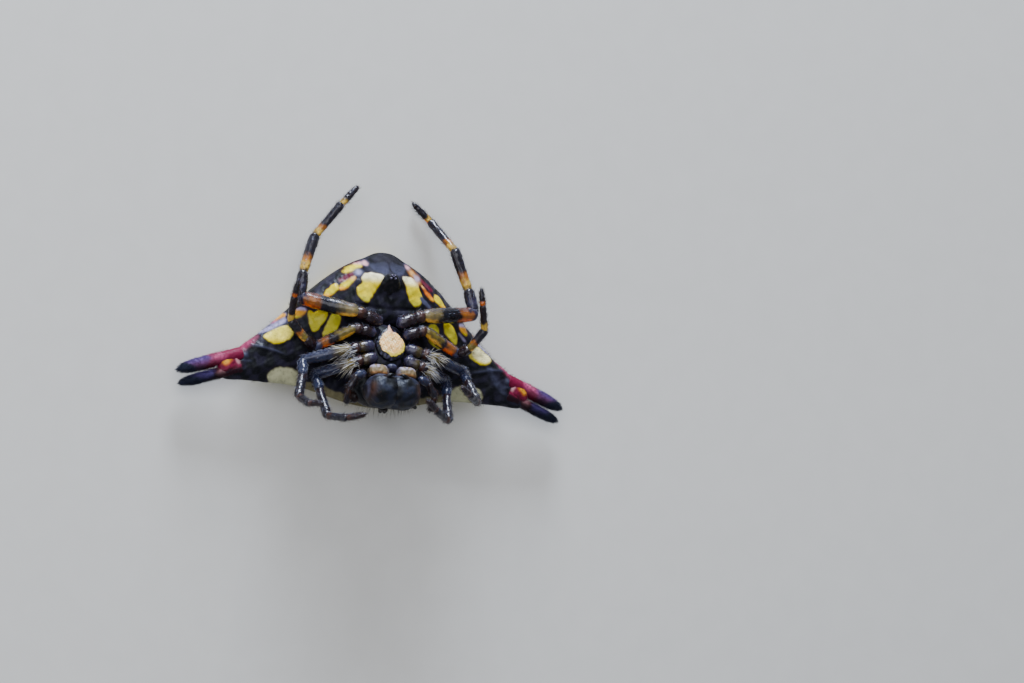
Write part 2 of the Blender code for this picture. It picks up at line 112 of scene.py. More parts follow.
def ease(value: Array) -> Array:
    """Ease from 0 to 1 as the value goes from 0 to 1."""
    share = np.clip(value, 0.0, 1.0)
    return share * share * (3.0 - 2.0 * share)


def ripple(points: Array, wavelength: float, seed: int, waves: int = 20) -> Array:
    """Smooth random relief: a sum of plane cosines of like wavelength with random headings.

    Args:
        points: Places in millimetres, last axis of three.
        wavelength: Middle distance from crest to crest, in millimetres.
        seed: Seed of the headings and phases.
        waves: How many cosines are summed.

    Returns:
        The relief at each point, with a spread of about one.
    """
    rng = np.random.default_rng(seed)
    headings = rng.normal(size=(waves, 3))
    headings /= np.linalg.norm(headings, axis=1)[:, None]
    pitch = TURN / wavelength * rng.uniform(0.6, 1.5, waves)
    phases = rng.uniform(0.0, TURN, waves)
    relief = np.zeros(points.shape[:-1])
    for heading, rate, phase in zip(headings, pitch, phases):
        relief += np.cos(points @ (heading * rate) + phase)
    return relief * math.sqrt(2.0 / waves)


def paint(grid: Array, pigment: Pigment) -> Array:
    """Lay one pigment evenly over a grid of points."""
    return np.broadcast_to(np.array(pigment.value), grid.shape)


def blend(base: Array, pigment: Pigment, share: Array) -> Array:
    """Mix one pigment over a colour field by a share of 0 to 1 at each point."""
    return base + (np.array(pigment.value) - base) * share[..., None]


def mixed(grid: Array, first: Pigment, second: Pigment, share: Array) -> Array:
    """Lay one pigment over a grid of points, and mix a second one over it by a share at each point."""
    return blend(paint(grid, first), second, share)


def unit(vectors: Array) -> Array:
    """Scale vectors to length one along the last axis."""
    return vectors / np.maximum(np.linalg.norm(vectors, axis=-1, keepdims=True), 1e-12)


def rounded(outline: Array, rounds: int = 2) -> Array:
    """Cut the corners of a closed outline: each edge keeps the points at a quarter and three quarters.

    Args:
        outline: Corners in plan, N by 2, in order.
        rounds: How often the corners are cut.

    Returns:
        The closed outline with more and blunter corners.
    """
    for _ in range(rounds):
        after = np.roll(outline, -1, axis=0)
        cuts = (0.75 * outline + 0.25 * after, 0.25 * outline + 0.75 * after)
        outline = np.stack(cuts, axis=1).reshape(-1, 2)
    return outline


def inside_by(plan: Array, outline: Array) -> Array:
    """How far each plan point lies inside a closed outline: the distance to its nearest edge.

    A point is inside where a ray from it along the first axis crosses an odd number of edges. Outside,
    the distance is negative.

    Args:
        plan: Places in plan, last axis of two.
        outline: Corners of the closed outline, N by 2.

    Returns:
        The distance of each place in millimetres.
    """
    best = np.full(plan.shape[:-1], np.inf)
    odd = np.zeros(plan.shape[:-1], dtype=bool)
    for start, end in zip(outline, np.roll(outline, -1, axis=0)):
        step = end - start
        gap = plan - start
        along = np.clip(gap @ step / (step @ step), 0.0, 1.0)
        best = np.minimum(best, np.linalg.norm(gap - along[..., None] * step, axis=-1))
        crosses = (start[1] > plan[..., 1]) != (end[1] > plan[..., 1])
        slope = step[0] / step[1] if step[1] else 0.0
        odd ^= crosses & (plan[..., 0] < start[0] + (plan[..., 1] - start[1]) * slope)
    return np.where(odd, best, -best)


def circle(count: int) -> Array:
    """Cosine and sine at even steps round a circle, as one row for each step."""
    angle = np.linspace(0.0, TURN, count, endpoint=False)
    return np.stack((np.cos(angle), np.sin(angle)), axis=-1)


def mirrored(place: Vec, side: float) -> Vec:
    """The place with its X on one side: -1 is left, and 1 is right."""
    return (side * place[0], *place[1:])


@dataclass(frozen=True)
class BodyAxes:
    """The body axes: square to the sternum, tipped up to the head, then moved to the floor's axes."""

    tilt_deg: float = 24.0
    shift: Vec = (0.0, -1.00, -0.60)

    def matrix(self) -> Array:
        """Rotation from the body axes to the model's axes."""
        cos, sin = math.cos(math.radians(self.tilt_deg)), math.sin(math.radians(self.tilt_deg))
        return np.array(((1.0, 0.0, 0.0), (0.0, cos, sin), (0.0, -sin, cos)))

    def place(self, points: Array) -> Array:
        """Move points from the body axes to the model's axes."""
        return np.asarray(points) @ self.matrix().T + np.array(self.shift)


AXES = BodyAxes()


def grid_quads(rows: int, cols: int) -> Array:
    """Quads of a grid of rings, each closed round its columns.

    Args:
        rows: How many rings.
        cols: Points in each ring.

    Returns:
        Point numbers of each face, N by 4.
    """
    row, col = np.meshgrid(np.arange(rows - 1), np.arange(cols), indexing="ij")
    here, there = row * cols + col, row * cols + (col + 1) % cols
    return np.stack((here, there, there + cols, here + cols), axis=-1).reshape(-1, 4)


def grid_normals(grid: Array) -> Array:
    """Outward normals of a grid of rings: the cross product of its two steps, turned outwards.

    Args:
        grid: Rings of points in millimetres.

    Returns:
        Normals of length one, in the shape of the grid.
    """
    along = np.gradient(grid, axis=0)
    around = np.roll(grid, -1, axis=1) - np.roll(grid, 1, axis=1)
    normals = unit(np.cross(around, along))
    middle = grid.mean(axis=1, keepdims=True)
    facing = np.sign(np.sum(normals * (grid - middle)))
    return normals * (facing if facing else 1.0)


def raised(grid: Array, height: Array) -> Array:
    """Move each point of a grid of rings outwards along its normal, by its own height."""
    return grid + grid_normals(grid) * height[..., None]


@dataclass
class Patchwork:
    """Closed surfaces gathered for one piece, with colour, roughness and hair patch of each point."""

    name: str
    points: list[Array] = field(default_factory=list)
    faces: list[list[int]] = field(default_factory=list)
    tints: list[Array] = field(default_factory=list)
    roughs: list[Array] = field(default_factory=list)
    patches: list[Array] = field(default_factory=list)
    count: int = 0

    def add(self, points: Array, faces: list[list[int]], tint: Array, rough: Array | float,
            patch: Array | None = None) -> None:
        """Add one closed surface, with its faces turned outwards.

        Args:
            points: Places in millimetres, N by 3.
            faces: Rows of point numbers.
            tint: Linear colour for each point, or one for all.
            rough: Roughness for each point, or one for all.
            patch: Place on the hair map for each point, N by 2.
        """
        number = len(points)
        self.points.append(points)
        self.faces.extend([[index + self.count for index in face] for face in faces])
        self.tints.append(np.broadcast_to(tint, (number, 3)))
        self.roughs.append(np.broadcast_to(rough, (number,)))
        if patch is not None:
            self.patches.append(patch)
        self.count += number

    def add_rings(self, grid: Array, tint: Array | Vec, rough: Array | float) -> None:
        """Add rings of points closed on the middles of the first and the last ring.

        Args:
            grid: Rings of points in millimetres.
            tint: Linear colour for each point, or one for all.
            rough: Roughness for each point, or one for all.
        """
        rows, cols = grid.shape[:2]
        ends = np.stack((grid[0].mean(axis=0), grid[-1].mean(axis=0)))
        points = np.vstack((grid.reshape(-1, 3), ends))
        quads = grid_quads(rows, cols)
        col = np.arange(cols)
        after = (col + 1) % cols
        first = np.stack((np.full(cols, rows * cols), after, col), axis=-1)
        base = (rows - 1) * cols
        last = np.stack((np.full(cols, rows * cols + 1), base + col, base + after), axis=-1)
        corners = points[quads] - ends[0]
        swell = np.einsum("ij,ij->", corners[:, 0], np.cross(corners[:, 1], corners[:, 2]))
        faces = quads.tolist() + first.tolist() + last.tolist()
        if swell < 0.0:
            faces = [face[::-1] for face in faces]
        tint = np.broadcast_to(tint, grid.shape).reshape(-1, 3)
        rough = np.broadcast_to(rough, grid.shape[:2]).reshape(-1)
        tint = np.vstack((tint, tint[:1], tint[-1:]))
        rough = np.concatenate((rough, rough[:1], rough[-1:]))
        self.add(points, faces, tint, rough)

    def build(self, material: bpy.types.Material, slot: str, *nodes: str) -> None:
        """Make the piece, dress it, and let it ride on the body in place of its solids.

        Args:
            material: The finish of the whole piece.
            slot: The record's material slot; not used.
            nodes: The solids that the piece stands for.
        """
        mesh = bpy.data.meshes.new(self.name)
        points = np.vstack(self.points) * MM
        mesh.from_pydata(points.tolist(), [], self.faces)
        mesh.shade_smooth()
        tint = mesh.color_attributes.new(name="Tint", type="FLOAT_COLOR", domain="POINT")
        colours = np.hstack((np.vstack(self.tints), np.ones((self.count, 1))))
        tint.data.foreach_set("color", colours.astype(np.float32).ravel())
        rough = mesh.attributes.new(name="Rough", type="FLOAT", domain="POINT")
        rough.data.foreach_set("value", np.concatenate(self.roughs).astype(np.float32))
        if self.patches:
            corners = np.empty(len(mesh.loops), dtype=np.int32)
            mesh.loops.foreach_get("vertex_index", corners)
            layer = mesh.uv_layers.new(name="OFBake")
            spots = np.vstack(self.patches)[corners]
            layer.data.foreach_set("uv", spots.astype(np.float32).ravel())
        mesh.materials.append(material)
        piece = bpy.data.objects.new(self.name, mesh)
        bpy.context.scene.collection.objects.link(piece)
        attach(piece, BODY)
        if nodes:
            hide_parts(*nodes)
        log.info("%s: %d points, %d faces", self.name, self.count, len(self.faces))


def fresh_material(name: str) -> tuple[bpy.types.Material, bpy.types.NodeTree, bpy.types.Node]:
    """Make a material, and return it with its node tree and its shader.

    Args:
        name: The material's name.

    Returns:
        The material, its node tree and its shader.
    """
    made = bpy.data.materials.new(name)
    made.use_nodes = True
    return made, made.node_tree, made.node_tree.nodes["Principled BSDF"]


def feed(tree: bpy.types.NodeTree, node: bpy.types.Node, inputs: dict) -> None:
    """Set a node's inputs: each takes a plain value, or the socket that is linked to it.

    Args:
        tree: The material's node tree.
        node: The node whose inputs are set.
        inputs: Value or feeding socket of each input.
    """
    for key, value in inputs.items():
        if isinstance(value, bpy.types.NodeSocket):
            tree.links.new(value, node.inputs[key])
        else:
            node.inputs[key].default_value = value


def add_node(tree: bpy.types.NodeTree, kind: str, inputs: dict | None = None,
             **settings: str) -> bpy.types.Node:
    """Add a node to a tree.

    Args:
        tree: The material's node tree.
        kind: The node's type.
        inputs: Value or feeding socket of each input.
        settings: The node's own settings.

    Returns:
        The new node.
    """
    node = tree.nodes.new(kind)
    for key, value in settings.items():
        setattr(node, key, value)
    feed(tree, node, inputs or {})
    return node


@dataclass(frozen=True)
class ShellFinish:
    """A glossy or satin shell whose colour and roughness come from the piece's own attributes.

    The grain is a fine noise and the pores are small cells, in millimetres. Both only bend the
    normal. A coarser noise makes the colour lighter or darker by the mottle, and wears the gloss.
    """

    name: str
    grain: float = 0.05
    grain_relief: float = 0.4
    pore: float = 0.12
    pore_relief: float = 0.3
    mottle: float = 0.25
    gloss: float = 0.30
    coat: float = 0.10
    coat_rough: float = 0.18
    glow: float = 0.0
    glow_reach: float = 0.25
    wear: float = 0.22
    highlight: Vec = (0.80, 0.88, 1.0)

    def material(self) -> bpy.types.Material:
        """Return the finish as a node material, made once.

        Returns:
            The material.
        """
        found = bpy.data.materials.get(self.name)
        if found:
            return found
        made, tree, shader = fresh_material(self.name)
        place = add_node(tree, "ShaderNodeTexCoord").outputs["Object"]
        tint = add_node(tree, "ShaderNodeAttribute", attribute_name="Tint").outputs["Color"]
        rough = add_node(tree, "ShaderNodeAttribute", attribute_name="Rough").outputs["Fac"]

        blotch = add_node(tree, "ShaderNodeTexNoise", {
            "Scale": 1.0 / (6.0 * self.grain * MM), "Detail": 5.0, "Roughness": 0.6, "Vector": place,
        }).outputs["Fac"]
        shade = add_node(tree, "ShaderNodeMapRange", {
            "From Min": 0.3, "From Max": 0.7, "To Min": 1.0 - self.mottle, "To Max": 1.0 + self.mottle,
            "Value": blotch}).outputs["Result"]
        colour = add_node(tree, "ShaderNodeVectorMath", {0: tint, "Scale": shade}, operation="SCALE")
        worn = add_node(tree, "ShaderNodeMath", {0: blotch, 1: self.wear, 2: rough},
                        operation="MULTIPLY_ADD")
        offset = add_node(tree, "ShaderNodeMath", {0: worn.outputs["Value"], 1: self.wear / 2.0},
                          operation="SUBTRACT")

        fine = add_node(tree, "ShaderNodeTexNoise", {
            "Scale": 1.0 / (self.grain * MM), "Detail": 3.0, "Vector": place})
        pits = add_node(tree, "ShaderNodeTexVoronoi", {"Scale": 1.0 / (self.pore * MM), "Vector": place})
        dents = add_node(tree, "ShaderNodeBump", {
            "Strength": self.pore_relief, "Distance": 0.25 * self.pore * MM,
            "Height": pits.outputs["Distance"]})
        grains = add_node(tree, "ShaderNodeBump", {
            "Strength": self.grain_relief, "Distance": 0.25 * self.grain * MM,
            "Height": fine.outputs["Fac"], "Normal": dents.outputs["Normal"]})
        feed(tree, shader, {
            "Base Color": colour.outputs["Vector"],
            "Roughness": offset.outputs["Value"],
            "Normal": grains.outputs["Normal"],
            "Specular IOR Level": self.gloss,
            "Specular Tint": (*self.highlight, 1.0),
            "Coat Weight": self.coat,
            "Coat Roughness": self.coat_rough,
            "Coat Tint": (*self.highlight, 1.0),
            "Subsurface Weight": self.glow,
            "Subsurface Scale": self.glow_reach * MM,
        })
        return made


ABDOMEN_SHELL = ShellFinish("abdomen_cuticle", grain=0.05, grain_relief=0.22, pore=0.20, pore_relief=0.22,
                            mottle=0.14, gloss=0.20, coat=0.0)
SPINE_SHELL = ShellFinish("spine_cuticle", grain=0.05, grain_relief=0.35, pore=0.10, pore_relief=0.2,
                          mottle=0.14, gloss=0.15, coat=0.0)
HEAD_SHELL = ShellFinish("head_cuticle", grain_relief=0.25, pore=0.14, pore_relief=0.12, gloss=0.20,
                         coat=0.04, coat_rough=0.4)
STERNUM_SHELL = ShellFinish("sternum_cuticle", grain=0.035, grain_relief=0.35, pore=0.07, mottle=0.18,
                            gloss=0.2, coat=0.0)
MOUTH_SHELL = ShellFinish("mouthpart_cuticle", grain=0.03, grain_relief=0.5, mottle=0.3, gloss=0.22,
                          coat=0.05)
LEG_SHELL = ShellFinish("leg_cuticle", grain=0.035, grain_relief=0.2, pore=0.08, pore_relief=0.12,
                        mottle=0.2, gloss=0.22, coat=0.50, coat_rough=0.17, glow=0.12,
                        highlight=(0.80, 0.82, 1.0))
EYE_SHELL = ShellFinish("eye_lens", grain_relief=0.0, pore_relief=0.0, mottle=0.05, gloss=0.5, coat=1.0,
                        coat_rough=0.03)
HAIR_SHELL = ShellFinish("hair", grain=0.02, grain_relief=0.0, pore_relief=0.0, mottle=0.3, gloss=0.15,
                         coat=0.0)


@dataclass(frozen=True)
class Hair:
    """One kind of hair: how it leaves the skin, its size in millimetres, and its colours.

    Its heading is a share of the skin's normal, plus a share of a lean, plus a random part. The lean
    goes on along the surface, or in a fixed direction that is mirrored to the hair's own side. The
    tip bends further along the lean, and may droop towards the head.
    """

    first: Pigment
    second: Pigment
    out: float
    lean: float
    scatter: float
    bend: float
    width: float
    reach: tuple[float, float]
    toward: Vec | None = None
    droop: float = 0.0


WING_HAIR = Hair(Pigment.HAIR_DARK, Pigment.VIOLET_BLACK, out=1.0, lean=0.5, scatter=0.25, bend=0.3,
                 width=0.004, reach=(0.06, 0.14), toward=(1.0, 0.0, 0.0))
SPINE_FUZZ = Hair(Pigment.HAIR_DARK, Pigment.HAIR_DARK, out=0.7, lean=0.75, scatter=0.16, bend=0.35,
                  width=0.0045, reach=(0.06, 0.15))
HEAD_BRISTLE = Hair(Pigment.HAIR_DARK, Pigment.UMBER, out=1.0, lean=0.6, scatter=0.2, bend=0.3,
                    width=0.005, reach=(0.14, 0.46), toward=(0.0, -1.0, 0.1))
JAW_BRISTLE = replace(HEAD_BRISTLE, reach=(0.06, 0.20))
LOBE_BRISTLE = replace(HEAD_BRISTLE, first=Pigment.BARK, second=Pigment.TAN, reach=(0.05, 0.12))
LEG_BRISTLE = Hair(Pigment.HAIR_DARK, Pigment.UMBER, out=0.7, lean=0.8, scatter=0.15, bend=0.3,
                   width=0.0045, reach=(0.06, 0.17))
LEG_FUZZ = Hair(Pigment.ASH, Pigment.VIOLET_GREY, out=0.45, lean=0.9, scatter=0.12, bend=0.25,
                width=0.004, reach=(0.06, 0.15))
LEG_FAN = Hair(Pigment.STRAW, Pigment.ASH, out=0.40, lean=1.0, scatter=0.10, bend=0.15, width=0.008,
               reach=(0.26, 0.52), droop=0.22)


@dataclass
class Coat:
    """Hairs of one piece: each a three-sided blade that bends and tapers from its sunk root."""

    name: str
    seed: int
    sides: int = 3
    sink: float = 0.02
    rough: float = 0.45
    patch_size: float = 0.003
    work: Patchwork = field(init=False)
    rng: np.random.Generator = field(init=False)

    def __post_init__(self) -> None:
        """Open the mesh and the random stream."""
        self.work = Patchwork(self.name)
        self.rng = np.random.default_rng(self.seed)

    def roots(self, grid: Array, number: int, weight: Array | None = None,
              tile: Tile = WHOLE) -> tuple[Array, Array, Array, Array]:
        """Scatter roots over a grid of rings, evenly by area times an optional weight.

        Args:
            grid: Rings of points in millimetres.
            number: How many roots.
            weight: Share of 0 to 1 for each grid point.
            tile: Left, bottom, width and height of the grid's patch on the hair map.

        Returns:
            Places, normals, directions along the grid, and places on the hair map.
        """
        rows, cols = grid.shape[:2]
        normals = grid_normals(grid)
        along = np.gradient(grid, axis=0)
        around = (np.roll(grid, -1, axis=1) - np.roll(grid, 1, axis=1)) / 2.0
        area = np.linalg.norm(np.cross(along, around), axis=-1)
        area[-1] = 0.0
        if weight is not None:
            area = area * weight
        chance = area.ravel() / area.sum()
        picked = self.rng.choice(rows * cols, size=number, p=chance)
        row, col = picked // cols, picked % cols
        share = self.rng.random((number, 2))
        nearby = (col + 1) % cols
        here = grid[row, col]
        place = here + (grid[row + 1, col] - here) * share[:, :1]
        place = place + (grid[row, nearby] - here) * share[:, 1:]
        spot = np.stack((tile[0] + tile[2] * (row + share[:, 0]) / rows,
                         tile[1] + tile[3] * (col + share[:, 1]) / cols), axis=-1)
        return place, normals[row, col], unit(along[row, col]), spot

    def grow(self, place: Array, heading: Array, bend: Array, length: Array, width: float,
             tint: Array, spot: Array) -> None:
        """Add one blade at each root: a ring at the root, a ring part way, and a point.

        Args:
            place: Roots in millimetres.
            heading: Direction in which each blade leaves.
            bend: Sideways move of each tip, as a share of the length.
            length: Length of each blade.
            width: Radius at the root.
            tint: Colour of each blade, N by 3.
            spot: Place of each root on the hair map.
        """
        number = len(place)
        heading = unit(heading)
        side = unit(np.cross(heading, self.rng.normal(size=(number, 3))))
        lift = np.cross(heading, side)
        angles = np.arange(self.sides) * TURN / self.sides
        ring = np.cos(angles)[None, :, None] * side[:, None]
        ring = ring + np.sin(angles)[None, :, None] * lift[:, None]
        reach = length[:, None]
        root = place - heading * self.sink
        middle = place + heading * reach * 0.55 + bend * reach * 0.28
        tip = place + heading * reach * 0.95 + bend * reach
        blade = (root[:, None] + ring * width, middle[:, None] + ring * width * 0.72, tip[:, None])
        blade = np.concatenate(blade, axis=1)
        size = 2 * self.sides + 1
        step = np.arange(self.sides)
        after = (step + 1) % self.sides
        walls = np.stack((step, after, after + self.sides, step + self.sides), axis=-1)
        point = np.stack((step + self.sides, after + self.sides, np.full(self.sides, size - 1)), axis=-1)
        start = (np.arange(number) * size)[:, None, None]
        quads = (walls[None] + start).reshape(-1, 4)
        tips = (point[None] + start).reshape(-1, 3)
        caps = step[::-1][None] + np.arange(number)[:, None] * size
        faces = quads.tolist() + tips.tolist() + caps.tolist()
        flat = ring[..., :2]
        wobble = np.concatenate((flat * 0.5, flat * 0.25, np.zeros((number, 1, 2))), axis=1)
        patch = (spot[:, None] + wobble * self.patch_size).reshape(-1, 2)
        tints = np.repeat(tint, size, axis=0)
        self.work.add(blade.reshape(-1, 3), faces, tints, self.rough, np.clip(patch, 0.0, 1.0))

    def plant(self, grid: Array, number: int, kind: Hair, weight: Array | None = None,
              tile: Tile = WHOLE, skin: Callable[[Array], Array] | None = None) -> None:
        """Scatter hairs of one kind over a grid of rings.

        Args:
            grid: Rings of points in millimetres.
            number: How many hairs.
            kind: The kind of hair.
            weight: Share of 0 to 1 for each grid point.
            tile: Left, bottom, width and height of the grid's patch on the hair map.
            skin: Colour of the skin at given places, for hairs that take on its colour.
        """
        place, normal, along, spot = self.roots(grid, number, weight, tile)
        lean = along
        if kind.toward:
            lean = np.array(kind.toward) * np.where(place[:, :1] < 0.0, (-1.0, 1.0, 1.0), 1.0)
        heading = normal * kind.out + lean * kind.lean
        heading = heading + self.rng.normal(scale=kind.scatter, size=place.shape)
        length = self.rng.uniform(*kind.reach, number)
        share = self.rng.random(number)
        if skin:
            tint = blend(skin(place), kind.second, 0.1 + 0.4 * share)
        else:
            tint = mixed(place, kind.first, kind.second, share)
        bend = lean * kind.bend - (0.0, kind.droop, 0.0)
        self.grow(place, heading, bend, length, kind.width, tint, spot)

    def build(self, slot: str) -> None:
        """Make the coat as one piece."""
        self.work.build(HAIR_SHELL.material(), slot)


@dataclass(frozen=True)
class Patch:
    """A patch of colour on the belly: an outline in plan, in millimetres from the midline.

    The patch may turn to another pigment towards its rear end, its top, and towards its front end, its
    foot, and has a dark fringe of its own.
    """

    pigment: Pigment
    outline: tuple[Plan, ...]
    only: str = ""
    top: Pigment | None = None
    foot: Pigment | None = None
    fringe: Pigment = Pigment.MAROON
    fringe_share: float = 0.55
    soft: float = 0.07
    rise: float = 0.02
    strength: float = 1.0
    rough: float = 0.33

    def lay(self, points: Array, tint: Array) -> tuple[Array, Array]:
        """Paint the patch over a colour field.

        Args:
            points: Places in millimetres, last axis of three.
            tint: The colours so far.

        Returns:
            The new colours, and the patch's share of 0 to 1 at each point.
        """
        plan = np.stack((np.abs(points[..., 0]), points[..., 1]), axis=-1)
        inside = 0.015 + inside_by(plan, rounded(np.array(self.outline))) + 0.010 * ripple(points, 0.28, 11)
        here = points[..., 0] * SIDES[self.only] > 0.0 if self.only else 1.0
        share = ease(0.5 + inside / self.soft) * self.strength * here
        front, rear = min(y for _, y in self.outline), max(y for _, y in self.outline)
        run = (plan[..., 1] - front) / (rear - front)
        cloud = 0.4 if self.pigment in (Pigment.LEMON, Pigment.BUTTER) else 0.0
        coat = mixed(points, self.pigment, Pigment.LEMON_DEEP, cloud * ease(ripple(points, 0.45, 12)))
        if self.top:
            coat = blend(coat, self.top, ease((run - 0.62) / 0.28))
        if self.foot:
            coat = blend(coat, self.foot, ease((0.36 - run) / 0.28))
        halo = ease(0.5 + (inside + 0.6 * self.soft) / self.soft) * (share < 0.999)
        tint = blend(tint, self.fringe, halo * self.fringe_share * here)
        return tint + (coat - tint) * share[..., None], share


